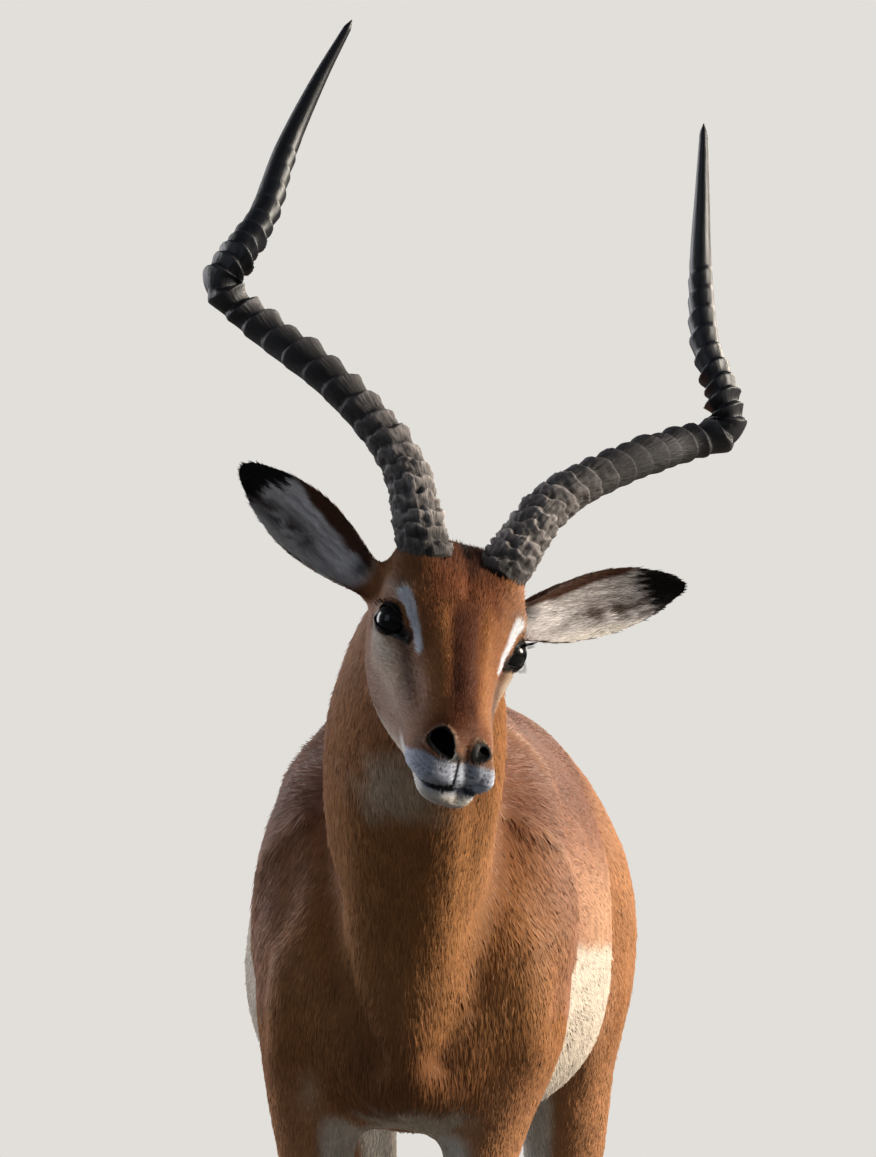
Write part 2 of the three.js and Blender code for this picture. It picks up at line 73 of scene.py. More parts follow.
NECK_CUT = (-0.035, -0.3535, 0.874)  # where the fine head skin meets the body's
NECK_CUT_NORMAL = (0, -0.936, 0.351)
CUT_SPARE = 0.02  # each side is cut this far past the plane first
BODY_MESH = 0.0056  # edge length of the skin on the body
HEAD_MESH = 0.0026  # and on the head and ears
SKIN_OVERLAP = 0.0004  # closes the slits between the flesh pieces
EAR_OVERLAP = 0.0012  # keeps the thin rims of the ears whole


# ---------------------------------------------------------------- frames of reference
def head_frame(points):
    """Points in millimetres in the head's own frame: X to its left, Y back, Z up."""
    return (np.asarray(points) - HEAD_PLACE) @ HEAD_TURN / MM


def from_head(points):
    return np.asarray(points) * MM @ HEAD_TURN.T + HEAD_PLACE


def face_frame(points):
    """Columns across, ahead and level: millimetres along the sloping face."""
    x, y, z = head_frame(points).T
    slope_cos, slope_sin = math.cos(FACE_SLOPE), math.sin(FACE_SLOPE)
    return x, -y * slope_cos - z * slope_sin, -y * slope_sin + z * slope_cos


def from_face(x, ahead, level):
    slope_cos, slope_sin = math.cos(FACE_SLOPE), math.sin(FACE_SLOPE)
    y = -ahead * slope_cos - level * slope_sin
    z = -ahead * slope_sin + level * slope_cos
    return from_head(np.stack(np.broadcast_arrays(x, y, z), -1))


def bump(distance, reach):
    return np.exp(-((distance / reach) ** 2))


def ease(value, low, high):
    """0 below low, 1 above high and a smooth step between; low may be the higher of the two."""
    share = np.clip((value - low) / (high - low), 0, 1)
    return share * share * (3 - 2 * share)


def unit(vectors):
    return vectors / np.maximum(np.linalg.norm(vectors, axis=-1, keepdims=True), 1e-12)


def drift(points, reach, shift=0.0):
    """Smooth noise from about -1 to 1 over places in metres, its hills about reach across."""
    grid = points / reach + 64 + shift
    low = np.floor(grid).astype(int)
    part = grid - low
    part = part * part * (3 - 2 * part)
    total = np.zeros(len(points))
    for corner in itertools.product((0, 1), repeat=3):
        cell = (low + corner) @ (1, 197, 1471)
        total += HILLS[cell % len(HILLS)] * np.where(corner, part, 1 - part).prod(1)
    return total


def along_line(points, line):
    """Distance of each point from a line of a few points, and how far along it, from 0 to 1."""
    line = np.asarray(line, float)
    best = np.full(len(points), np.inf)
    share = np.zeros(len(points))
    for index in range(len(line) - 1):
        start, step = line[index], line[index + 1] - line[index]
        part = np.clip((points - start) @ step / (step @ step), 0, 1)
        gap = np.linalg.norm(points - start - part[:, None] * step, axis=1)
        nearer = gap < best
        best[nearer] = gap[nearer]
        share[nearer] = (index + part[nearer]) / (len(line) - 1)
    return best, share


# ---------------------------------------------------------------- mesh helpers
def pick(*objects):
    bpy.ops.object.select_all(action="DESELECT")
    for item in objects:
        item.hide_set(False)
        item.select_set(True)
    bpy.context.view_layer.objects.active = objects[0]


def read(collection, key, columns=3, kind=np.float32):
    """The values of a mesh's points, edges or faces, as rows."""
    values = np.empty(len(collection) * columns, kind)
    collection.foreach_get(key, values)
    return values.reshape(-1, columns)


def read_points(piece):
    return read(piece.data.vertices, "co").astype(float)


def read_normals(piece):
    return read(piece.data.vertex_normals, "vector").astype(float)


def write_points(piece, points):
    piece.data.vertices.foreach_set("co", np.asarray(points, np.float32).ravel())
    piece.data.update()


@contextlib.contextmanager
def editing(piece, action="SELECT"):
    """Edit mode on a piece, with all of it selected or none."""
    pick(piece)
    bpy.ops.object.mode_set(mode="EDIT")
    bpy.ops.mesh.select_all(action=action)
    yield
    bpy.ops.object.mode_set(mode="OBJECT")


def close_borders(close):
    """Closes the open borders of the piece in edit mode, and turns its faces outward."""
    bpy.ops.mesh.select_mode(type="EDGE")
    bpy.ops.mesh.select_all(action="DESELECT")
    bpy.ops.mesh.select_non_manifold(
        use_wire=False, use_multi_face=False, use_non_contiguous=False, use_verts=False
    )
    close()
    bpy.ops.mesh.select_all(action="SELECT")
    bpy.ops.mesh.normals_make_consistent(inside=False)


def apply_modifier(piece, kind, **settings):
    modifier = piece.modifiers.new(kind.lower(), kind)
    for key, value in settings.items():
        setattr(modifier, key, value)
    pick(piece)
    bpy.ops.object.modifier_apply(modifier=modifier.name)


def join(*pieces):
    pick(*pieces)
    if len(pieces) > 1:
        bpy.ops.object.join()
    return bpy.context.active_object


def flesh_copy(name, nodes, growth=SKIN_OVERLAP):
    """The named nodes as one merged object, each grown a little so that they overlap."""
    copies = []
    for node in nodes:
        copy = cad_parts[node].copy()
        copy.data = copy.data.copy()
        copy.parent = None
        for key in list(copy.keys()):
            del copy[key]
        bpy.context.scene.collection.objects.link(copy)
        copies.append(copy)
    piece = join(*copies)
    piece.name = name
    piece.data.materials.clear()
    with editing(piece):
        bpy.ops.mesh.remove_doubles(threshold=0.00001)
        bpy.ops.transform.shrink_fatten(value=growth)
    return piece


def cut_neck(piece, offset, keep_front, fill):
    """Keeps what lies before or behind a plane across the neck."""
    with editing(piece):
        bpy.ops.mesh.bisect(
            plane_co=Vector(NECK_CUT) + Vector(NECK_CUT_NORMAL).normalized() * offset,
            plane_no=NECK_CUT_NORMAL, use_fill=fill, clear_inner=keep_front, clear_outer=not keep_front,
        )


def remesh(piece, size):
    pick(piece)
    piece.data.remesh_voxel_size = size
    piece.data.use_remesh_fix_poles = False
    bpy.ops.object.voxel_remesh()


class Links:
    """The neighbours of each point of a mesh, for smoothing values over it."""

    def __init__(self, piece):
        mesh = piece.data
        ends = read(mesh.edges, "vertices", 2, np.int32).T
        start, end = np.concatenate(ends), np.concatenate(ends[::-1])
        order = np.argsort(start, kind="stable")
        self.end = end[order]
        self.first = np.searchsorted(start[order], np.arange(len(mesh.vertices)))
        self.count = np.bincount(start, minlength=len(mesh.vertices)).astype(float)

    def smooth(self, values, rounds, weight=0.8):
        """weight is one number or one for each point."""
        values = np.array(values, float)
        flat = values.ndim == 1
        if flat:
            values = values[:, None]
        weight = np.broadcast_to(np.asarray(weight, float).reshape(-1, 1), (len(values), 1))
        for _ in range(rounds):
            mean = np.add.reduceat(values[self.end], self.first, axis=0) / self.count[:, None]
            values = values + weight * (mean - values)
        return values[:, 0] if flat else values

    def keep_volume(self, points, rounds, weight):
        """Smooths points and gives back the slow part of what the smoothing took."""
        soft = self.smooth(points, rounds, weight)
        return soft + self.smooth(points - soft, rounds * 2, weight)


# ---------------------------------------------------------------- skin
def join_skin():
    """One closed mesh over all the flesh, fine on the head and coarser on the body."""
    fine = flesh_copy("skin", ["head", "neck", "eye_left", "eye_right"])
    join(fine, flesh_copy("skin_ears", ["ear_left", "ear_right"], growth=EAR_OVERLAP))
    coarse = flesh_copy("skin_body", ["trunk", "neck", "tail"] + LEGS)
    for piece, size, front in ((fine, HEAD_MESH, True), (coarse, BODY_MESH, False)):
        cut_neck(piece, -CUT_SPARE if front else CUT_SPARE, keep_front=front, fill=True)
        remesh(piece, size)
        cut_neck(piece, 0, keep_front=front, fill=False)
    join(fine, coarse)
    with editing(fine):
        close_borders(bpy.ops.mesh.bridge_edge_loops)
    return fine


LEG_SKIN_TOP = 0.52  # the skin keeps its fine faces below this
TAIL_START = 0.60
FEWER_FACES = 0.36  # share of the faces left on trunk and neck


def nearest_nodes(points):
    """For each point, the place in FLESH of the node that it lies on."""
    corners, faces, owner = [], [], []
    for index, node in enumerate(FLESH):
        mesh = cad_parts[node].data
        base = len(corners)
        corners.extend(vertex.co.copy() for vertex in mesh.vertices)
        faces.extend([base + corner for corner in face.vertices] for face in mesh.polygons)
        owner.extend([index] * len(mesh.polygons))
    tree = BVHTree.FromPolygons(corners, faces)
    return np.array([owner[tree.find_nearest(Vector(point))[2]] for point in points])


def by_node(nodes, values):
    """The value, or row of values, of each point by the kind of flesh that it belongs to."""
    return np.array([values[kind] for kind in KINDS], float)[nodes]


def thin_out(piece):
    """Fewer, larger faces where the skin is broad and smooth."""
    points = read_points(piece)
    behind_cut = (points - np.array(NECK_CUT)) @ np.array(NECK_CUT_NORMAL) < -CUT_SPARE
    broad = behind_cut & (points[:, 2] > LEG_SKIN_TOP) & (points[:, 1] < TAIL_START)
    group = piece.vertex_groups.new(name="broad")
    group.add(np.flatnonzero(broad).tolist(), 1.0, "REPLACE")
    ratio = 1 - broad.mean() * (1 - FEWER_FACES)
    apply_modifier(piece, "DECIMATE", ratio=ratio, vertex_group=group.name)
    piece.vertex_groups.clear()


def refine(piece, centre, reach, cuts):
    """Smaller faces within reach of a point in the head's frame."""
    mesh = piece.data
    near = np.linalg.norm(head_frame(read(mesh.polygons, "center")) - centre, axis=1) < reach
    with editing(piece, "DESELECT"):
        bpy.ops.mesh.select_mode(type="FACE")
    mesh.polygons.foreach_set("select", near)
    bpy.ops.object.mode_set(mode="EDIT")
    bpy.ops.mesh.subdivide(number_cuts=cuts, quadcorner="INNERVERT")
    bpy.ops.object.mode_set(mode="OBJECT")


# Low forms of muscle and bone under the skin, drawn on the animal's side: [height, width, points],
# all in millimetres, each point its place along the body (Y) and its height above the floor.
FOLD_WIDTH = 7
SIDE_FORMS = [
    [5.0, 26, [(-62, 868), (-120, 780), (-168, 690)]],  # spine of the shoulder blade
    [-5.5, 20, [(-10, 850), (-20, 760), (-58, 660), (-92, 590)]],  # behind the shoulder
    [-5.0, 20, [(-118, 880), (-176, 800), (-205, 700), (-196, 620)]],  # between neck and shoulder
    [5.0, 24, [(-60, 640), (-64, 572)]],  # elbow
    [4.0, FOLD_WIDTH, [(-186, 868), (-170, 812), (-146, 742), (-140, 676)]],  # folds behind the shoulder
    [3.5, FOLD_WIDTH, [(-96, 856), (-84, 800), (-62, 735), (-70, 668)]],
    [-7.0, 42, [(352, 790), (330, 720)]],  # hollow of the flank
    [6.0, 26, [(405, 868), (425, 840)]],  # point of the hip
    [-4.5, 15, [(560, 812), (528, 700), (496, 590)]],  # between the two hams
    [4.5, 30, [(385, 640), (372, 590)]],  # stifle
    [-4.0, 18, [(470, 610), (520, 500)]],  # hollow above the hock
]
FRONT_FORMS = [
    # the same, across from the middle plane and up, on the breast
    [-13.0, 13, [(-71, 830), (-69, 797), (-65, 700), (-50, 640), (-27, 592)]],
    [3.5, 9, [(-84, 800), (-81, 700), (-66, 630), (-42, 585)]],
    [-10.0, 14, [(76, 830), (75, 797), (68, 718), (55, 640), (32, 592)]],
    [3.0, 24, [(0, 640), (0, 575)]],  # keel of the breast
    [4.0, 24, [(-112, 680), (-100, 610)]],  # points of the shoulders
    [4.0, 24, [(112, 680), (100, 610)]],
]
RIB_FIRST, RIB_LAST, RIB_STEP = -52, 300, 34
RIB_HEIGHT, RIB_WIDTH = 3.4, 9
SHOULDER_TUCK = 9  # the right shoulder lies closer to the chest
RIB_TOP, RIB_FOOT, RIB_SLANT = 830, 610, 46


def raised(places, forms):
    """How far low forms stand out at places, each form a height, a width and a line."""
    return sum(height * bump(along_line(places, line)[0], width) for height, width, line in forms)


def rib_crests(points):
    """1 on the soft folds over the ribs, 0 between them and off the flank."""
    side_view = points[:, 1:] / MM
    crests = np.zeros(len(points))
    for index, start in enumerate(range(RIB_FIRST, RIB_LAST, RIB_STEP)):
        middle = (start + 0.5 * RIB_SLANT, (RIB_TOP + RIB_FOOT) / 2)
        line = [(start, RIB_TOP), middle, (start + 0.4 * RIB_SLANT, RIB_FOOT)]
        gap, share = along_line(side_view, line)
        strength = (0.6 + 0.4 * math.cos(2.3 * index)) * (1 - 0.07 * index)
        crests += strength * bump(gap, RIB_WIDTH) * np.sin(math.pi * np.clip(share, 0.03, 0.97)) ** 0.6
    return crests * ease(side_view[:, 0], -90, -30)


def side_forms(points, normals):
    """How far the skin stands out, in metres, for the forms under it."""
    side_view = points[:, 1:] / MM
    facing = ease(np.abs(normals[:, 0]), 0.2, 0.7)
    rise = facing * (raised(side_view, SIDE_FORMS) + RIB_HEIGHT * rib_crests(points))
    place = np.hypot((side_view[:, 0] + 190) / 60, (side_view[:, 1] - 715) / 75)
    rise -= SHOULDER_TUCK * ease(place, 1.2, 0.2) * (points[:, 0] / MM < MIDLINE - 60)
    front_view = points[:, [0, 2]] / MM - (MIDLINE, 0)
    facing = ease(-normals[:, 1], 0.1, 0.5) * ease(side_view[:, 0], -120, -170)
    return (rise + facing * raised(front_view, FRONT_FORMS)) * MM


# ---------------------------------------------------------------- the face
LID_THICKNESS = 1.4
RIM_REACH = 0.9  # faces this near the opening are drawn onto its edge
LID_SPREAD = 15  # how far the lids' curve reaches over the face
OPENING_FRONT, OPENING_BACK = 30, 15.5  # half lengths of the eye's opening, to its corners
OPENING_TOP, OPENING_LOW = 9.8, 8.0
EYE_SLIT = np.array([0.08, -0.93, -0.04])  # from the back corner of the eye to the front one
SLIT_ALONG = unit(EYE_SLIT - EYE_SLIT @ GAZE * GAZE)
SLIT_UP = np.cross(SLIT_ALONG, GAZE)
SLIT_UP *= np.sign(SLIT_UP[2])

NOSTRIL_LINE = [(4.5, 163.5, -7), (11, 158, -3.5), (16, 152, -1.5), (20, 146, -1)]
NOSTRIL_WIDTHS = [5.0, 8.6, 9.8, 8.6]
NOSTRIL_DEPTH = 15
MOUTH_LINE = [(0, 168, -31), (9, 166, -31.5), (17, 160, -33), (23, 148, -36), (27, 132, -40), (29, 116, -44)]
MOUTH_DEPTH = 3.8
LIP_SHADE = 2.6  # the dark of the mouth reaches further down than up


def eye_frame(points, side):
    """Across, up and out of the eye's opening, in millimetres from the eyeball's middle."""
    place = head_frame(points) * (side, 1, 1) - EYE_CENTRE
    return place @ SLIT_ALONG, place @ SLIT_UP, place @ GAZE


def opening_edge(along):
    """Heights of the upper and lower lid at a place along the eye's opening."""
    share = np.where(along > 0, along / OPENING_FRONT, along / OPENING_BACK)
    arch = np.clip(1 - share**2, 0, None) ** np.where(along > 0, 1.7, 0.62)
    sag = -3.2 * ease(along, 6, OPENING_FRONT)
    return OPENING_TOP * arch + sag, -OPENING_LOW * arch + sag


def opening_gap(along, up):
    """Rough distance outside the eye's opening, below 0 inside it."""
    top, low = opening_edge(along)
    above = np.maximum(up - top, low - up)
    beyond = np.maximum(along - OPENING_FRONT, -OPENING_BACK - along)
    return np.where(beyond > 0, np.hypot(beyond, np.maximum(above, 0)), above)


def shape_eyelids(points, side):
    along, up, out = eye_frame(points, side)
    near = (out > 0) & (np.hypot(along, up) < OPENING_FRONT + LID_SPREAD)
    gap = opening_gap(along, up)
    inner = (along > -OPENING_BACK + 1) & (along < OPENING_FRONT - 2)
    on_edge = near & inner & (np.abs(gap) < RIM_REACH)
    slide = np.where(on_edge, np.where(up > opening_edge(along)[0] - 2, -gap, gap), 0)
    gap = np.where(on_edge, 0, gap)
    up = up + slide
    middle = np.sqrt(np.clip((EYE_RADIUS + LID_THICKNESS) ** 2 - along**2 - up**2, 0, None))
    over_ball = ease(np.hypot(along, up), EYE_RADIUS + 1, EYE_RADIUS - 5)
    lid = np.where(near, over_ball * ease(gap, LID_SPREAD * 0.6, 0), 0)
    crease = 1.5 * bump(gap - 6.5, 1.6) * ease(up, -3, 3) + 0.9 * bump(gap - 5.5, 1.6) * ease(up, 3, -3)
    rim = 0.45 * bump(gap - 1.0, 1.2)
    new_out = out + lid * (middle - out) + near * (rim - crease)
    hollow = np.where(over_ball > 0.2, middle - LID_THICKNESS - 3.0, out - 3.0)
    inside = near * ease(gap, -0.1, -RIM_REACH)
    new_out += inside * (np.minimum(hollow, new_out) - new_out)
    shift = (new_out - out)[:, None] * GAZE + slide[:, None] * SLIT_UP
    return points + shift * (side, 1, 1) * MM @ HEAD_TURN.T


def half_face(points):
    """Columns across, ahead and level, and rows of them as on the left half of the face."""
    across, ahead, level = face_frame(points)
    return across, ahead, level, np.stack([np.abs(across), ahead, level], 1)


def past_nostril(place):
    """Distance outside the edge of the nostril, below 0 inside it."""
    gap, share = along_line(place, NOSTRIL_LINE)
    last = len(NOSTRIL_WIDTHS) - 1
    return gap - np.interp(share * last, range(last + 1), NOSTRIL_WIDTHS)


def shape_muzzle(points, normals):
    """Nostrils, the cleft of the upper lip, the line of the mouth and the chin."""
    across, ahead, level, place = half_face(points)
    beside = past_nostril(place)
    depth = 1.1 * bump(beside - 2.4, 2.2) * ease(np.abs(across), 4, 9)
    hole = ease(beside, 0.5, -2.4)
    cleft = bump(across, 1.3) * ease(level, -4, -9) * ease(level, -34, -30) * ease(ahead, 150, 158)
    gap, share = along_line(place, MOUTH_LINE)
    below = level - np.interp(-ahead, [-168, -166, -160, -148, -132, -116], [-31, -31.5, -33, -36, -40, -44])
    depth -= MOUTH_DEPTH * bump(gap, 1.5) * (1 - 0.75 * share)
    depth += 1.6 * bump(below - 6, 4.5) * ease(ahead, 128, 150)
    depth -= 1.8 * bump(below + 4, 3.2) * ease(ahead, 128, 150)
    depth += 1.6 * bump(below + 12, 5) * ease(ahead, 135, 155)
    depth -= 1.6 * cleft
    inward = np.sign(across)[:, None] * (-0.1, 0, 0) + (0, 0.98, 0.05)
    moved = points + (depth * MM)[:, None] * normals
    return moved + (hole * NOSTRIL_DEPTH * MM)[:, None] * (inward @ HEAD_TURN.T), hole


FACE_FORMS = [
    # [height, width, points as across, ahead and level], millimetres, the same on both sides
    [1.6, 6, [(47, -16, 24), (41, 14, 21), (31, 44, 11)]],  # brow
    [-1.6, 8, [(36, 44, 2), (31, 70, -4), (28, 96, -8)]],  # hollow before the eye
    [1.8, 8, [(44, -10, -22), (40, 20, -22), (34, 52, -20)]],  # cheekbone
    [-1.5, 8, [(39, 20, -40), (36, 60, -38), (34, 96, -34)]],  # under the cheekbone
    [1.5, 14, [(44, -30, -62), (42, 0, -70)]],  # jaw muscle
    [-1.2, 5, [(27, 128, -22), (25, 134, -8), (20, 132, 4)]],  # behind the nostril
    [3.6, 9, [(21, 160, -20), (27, 149, -25), (29, 134, -32)]],  # upper lip
    [2.6, 8, [(5, 168, -24), (16, 164, -25)]],
    [3.0, 9, [(4, 164, -46), (14, 158, -46), (20, 142, -50)]],  # lower lip and chin
    [2.6, 11, [(50, -34, 16), (52, -14, 22)]],  # temple
    [-1.0, 5, [(12, 20, 30), (10, 60, 21), (9, 100, 12)]],  # beside the bridge of the nose
    [-2.0, 5, [(0, -44, 42), (0, -20, 40), (0, -2, 36)]],  # between the horns
]


def face_forms(points, normals):
    return (raised(half_face(points)[3], FACE_FORMS) * MM)[:, None] * normals


SKIN_DEPTHS = {"head": 1.1, "neck": 3.2, "trunk": 2.8, "tail": 5.0, "ear": 1.2, "leg": 1.6}
SMOOTHING = {"head": 0.5, "neck": 0.8, "trunk": 0.9, "tail": 0.4, "ear": 0.25, "leg": 0.4}
SMOOTHING_ROUNDS = 60
HOOF_TOP = 0.0415


def make_skin():
    """The one skin, inside the flesh nodes by the depth of the coat."""
    skin = join_skin()
    links = Links(skin)
    points = read_points(skin)
    nodes = nearest_nodes(points)
    weight = links.smooth(by_node(nodes, SMOOTHING), 8)
    points = links.keep_volume(points, SMOOTHING_ROUNDS, weight)
    write_points(skin, points)
    thin_out(skin)
    for side in SIDES.values():
        refine(skin, (EYE_CENTRE + 9 * GAZE + (0, -5, 0)) * (side, 1, 1), 27, 2)
    refine(skin, head_frame(from_face(0, 158, -22)[None])[0], 38, 1)
    links = Links(skin)
    points = read_points(skin)
    nodes = nearest_nodes(points)
    depth = links.smooth(by_node(nodes, SKIN_DEPTHS), 12) * MM
    normals = links.smooth(read_normals(skin), 3)
    points += unit(normals) * (side_forms(points, normals) - depth)[:, None]
    points += face_forms(points, unit(normals))
    for side in SIDES.values():
        points = shape_eyelids(points, side)
    points, hole = shape_muzzle(points, unit(normals))
    write_points(skin, points)
    return skin, links, nodes, hole


# ---------------------------------------------------------------- markings
def tone(red, green, blue):
    """A colour as it looks, 0 to 255, in the shader's own scale."""
    share = np.array([red, green, blue]) / 255
    return np.where(share <= 0.04045, share / 12.92, ((share + 0.055) / 1.055) ** 2.4)


RUFOUS = tone(158, 105, 64)
GOLD = tone(186, 132, 80)
# Painted shade colour, for the breast's grooves and the low middle of the chest.
BREAST_SHADE = tone(92, 54, 36)
SADDLE = tone(126, 86, 70)
FLANK = tone(162, 116, 92)
FAWN = tone(204, 158, 126)
HAUNCH = tone(178, 126, 88)
LEG_TAN = tone(186, 132, 92)
WHITE = tone(232, 224, 214)
CREAM = tone(222, 206, 186)
FACE_RED = tone(136, 80, 48)
FACE_GOLD = tone(174, 116, 68)
BRIDGE = tone(82, 43, 27)
CROWN_BROWN = tone(98, 58, 40)
CHEEK = tone(174, 146, 120)
CHEEK_BROWN = tone(136, 94, 64)
BROWN_PATCH = tone(86, 50, 32)
EYE_RING = tone(196, 182, 168)
BROW_WHITE = tone(226, 230, 240)
BELLY_WHITE = tone(222, 208, 192)
# Pale grey of the lips, darker and bluer than their own colour: partly painted cool shade.
MUZZLE_PALE_COOL_SHADE = tone(186, 192, 208)
PIT = tone(70, 66, 72)
EAR_GREY = tone(226, 220, 220)
EAR_STREAK = tone(74, 56, 46)
EAR_BACK = tone(150, 104, 74)
EAR_BAND = tone(82, 50, 34)
BLACK = tone(20, 16, 15)
NOSE_BLACK = tone(10, 9, 10)

THROAT, THROAT_REACH = (4, 806), (38, 30)  # white throat, from the middle plane and the floor
BROW_STRIPE = [(46, -3, 25), (44, 8, 25), (39, 27, 20), (31, 48, 9)]
EAR_ROOT = np.array([57, 62, 15])
EAR_LENGTH, EAR_HALF_WIDTH = 145, 27
EARS = {
    "left": (np.array([0.131, 0.027, 0.064]), np.array([-0.15, -1, -0.1])),
    "right": (np.array([0.1, 0.088, 0.045]), np.array([0.24, -0.96, 0.14])),
}


def ear_axes(name):
    """Along the ear from its root, and out of its cup."""
    lean, opening = (unit(axis) for axis in EARS[name])
    return lean, unit(opening - opening @ lean * lean)


def ear_frame(points, name):
    """Share of the ear's length, share of its half width toward its upper edge, and depth of its cup."""
    lean, opening = ear_axes(name)
    across = np.cross(lean, opening)
    across *= np.sign(across[2])
    place = head_frame(points) * (SIDES[name], 1, 1) - EAR_ROOT
    return place @ lean / EAR_LENGTH, place @ across / EAR_HALF_WIDTH, place @ opening


def in_cup(normals, name):
    """1 where the ear's skin faces into its cup, 0 on its back."""
    return ease(normals @ HEAD_TURN * (SIDES[name], 1, 1) @ ear_axes(name)[1], -0.1, 0.35)


def lay(colours, colour, mask):
    """Covers rows of colours with another, or with other rows, where the mask is above 0."""
    colours += np.clip(mask, 0, 1)[:, None] * (colour - colours)


def canvas(points, colour):
    """A colour for each point, and a function that lays others over them."""
    colours = np.tile(colour, (len(points), 1))
    return colours, functools.partial(lay, colours)


# Upper edge of the white belly: places along the body and heights above the floor.
LEFT_WHITE_TOP = [
    (-185, 530), (-160, 590), (-130, 650), (-100, 684), (180, 684), (290, 668), (380, 612), (520, 570),
]
RIGHT_WHITE_TOP = [
    (-185, 530), (-140, 590), (-80, 642), (0, 686), (80, 716), (180, 712), (290, 680), (380, 612), (520, 570),
]


def body_colours(points, normals, nodes):
    x, y, z = (points / MM).T
    x = x - MIDLINE
    out = np.abs(x)
    colours, put = canvas(points, RUFOUS)
    legs, hind = np.isin(nodes, LEG_NODES), np.isin(nodes, HIND_NODES)
    waver = 16 * drift(points, 0.055)
    on_trunk = ease(y, -215, -60)
    sides = ease(np.abs(normals[:, 0]), 0.25, 0.75) * ease(y + 0.35 * (z - 700), -300, -130)
    flank = np.maximum(on_trunk, sides) * ease(z + waver, 540, 640) * ease(y, 420, 330)
    put(FLANK, flank * ~legs)
    put(FAWN, ease(y, -60, 60) * ease(z + waver, 775, 715) * ease(y, 400, 330) * 0.9)
    nape = ease(y, -420, -180) * ease(normals[:, 2], 0.1, 0.8)
    put(SADDLE, np.maximum(on_trunk, nape) * ease(z + waver, 735, 810) * ease(y, 540, 400))
    # Painted highlight: the crests of the rib folds are made lighter in colour.
    put(FAWN, rib_crests(points) * on_trunk * 0.16)
    # Painted highlight: a lighter line along the crests of the folds behind the shoulder.
    folds = [along_line(points[:, 1:] / MM, line)[0] for _, width, line in SIDE_FORMS if width == FOLD_WIDTH]
    put(FAWN, bump(np.minimum(*folds), 9) * ease(np.abs(normals[:, 0]), 0.2, 0.6) * 0.3)
    # Painted shade: the grooves on the breast are darkened in colour.
    breast = ease(y, -170, -200) * ease(-normals[:, 1], 0.2, 0.5) * ease(z, 850, 780)
    grooves = [along_line(np.stack([x, z], 1), FRONT_FORMS[index][2])[0] for index in (0, 2)]
    put(BREAST_SHADE, bump(np.minimum(*grooves), 9) * breast * 0.5)
    put(HAUNCH, ease(y, 360, 440) * ease(z + waver, 860, 760) * 0.8)
    put(GOLD, 0.4 * ease(y, -150, -240) * ease(z, 560, 640) * ease(z, 860, 740))
    # Painted shade: the low middle of the chest is darkened in colour.
    put(BREAST_SHADE, 0.3 * ease(y, -120, -200) * bump(out, 60) * ease(z, 720, 600) * ~legs)
    white_top = np.interp(y, *np.transpose(LEFT_WHITE_TOP))
    right_top = np.interp(y, *np.transpose(RIGHT_WHITE_TOP))
    white_top += (right_top - white_top) * ease(x, 20, -20)
    haunch = ease(y - 0.35 * (z - 600), 352, 372) * ease(out, 60, 95)
    behind_elbow = ease(y + 0.36 * (z - 600), -112, -84)
    belly = ease(z + 0.3 * waver, white_top + 7, white_top - 7) * behind_elbow * (1 - haunch)
    put(BELLY_WHITE, belly * (1 - hind * ease(out, 60, 85)))
    ragged = 10 * drift(points, 0.016)
    put(CREAM, ease(y, -120, -150) * ease(z + ragged, 560, 545) * ease(out + ragged, 58, 44))
    put(CREAM, ease(y, -150, -190) * bump(np.hypot(x + 78, 0.5 * (z - 566)), 8) * 0.7)
    put(LEG_TAN, legs * ease(z, 640, 520) * 0.9)
    inward = ease(-np.sign(x) * normals[:, 0], 0.1, 0.55)
    put(WHITE, legs * inward * ease(z, 300, 400) * 0.92)
    put(WHITE, hind * inward)
    put(FAWN, legs * ease(z, 330, 200) * 0.35)
    put(CREAM, legs * inward * ease(z, 330, 250) * 0.4)
    backward = ease(normals[:, 1], 0.15, 0.5)
    put(BLACK, hind * backward * ease(z, 112, 128) * ease(z, 205, 175))
    put(BRIDGE, legs * ease(z, 66, 44) * 0.7)
    tail = nodes == TAIL
    seat = ease(y, 500, 545) * ease(normals[:, 1], 0.1, 0.4) * ~tail
    stripe_place = np.interp(z, [600, 700, 800, 870], [62, 66, 54, 30])
    put(WHITE, seat * ease(out, stripe_place - 6, stripe_place - 16) * ease(z, 835, 800))
    put(BLACK, seat * bump(out - stripe_place, 8.5) ** 0.6 * ease(z, 600, 640) * ease(z, 862, 845))
    put(WHITE, tail * (ease(out, 6, 11) + ease(normals[:, 1], 0.1, -0.2)))
    put(RUFOUS, tail * ease(z, 770, 815) * ease(normals[:, 1], -0.2, 0.2) * ease(out, 5, 8))
    put(BLACK, tail * ease(out, 7.5, 4.5) * ease(normals[:, 1], 0, 0.3) * ease(z, 600, 640))
    put(SADDLE * 0.7, ease(out, 12, 4) * ease(normals[:, 2], 0.6, 0.9) * on_trunk * 0.5 * ~tail)
    throat = np.hypot((x - THROAT[0]) / THROAT_REACH[0], (z - THROAT[1]) / THROAT_REACH[1])
    forward = (y < -330) * ease(-normals[:, 1], 0.2, 0.6)
    put(CREAM, ease(throat + 0.3 * drift(points, 0.02), 1.3, 0.4) * forward * 0.7)
    return colours


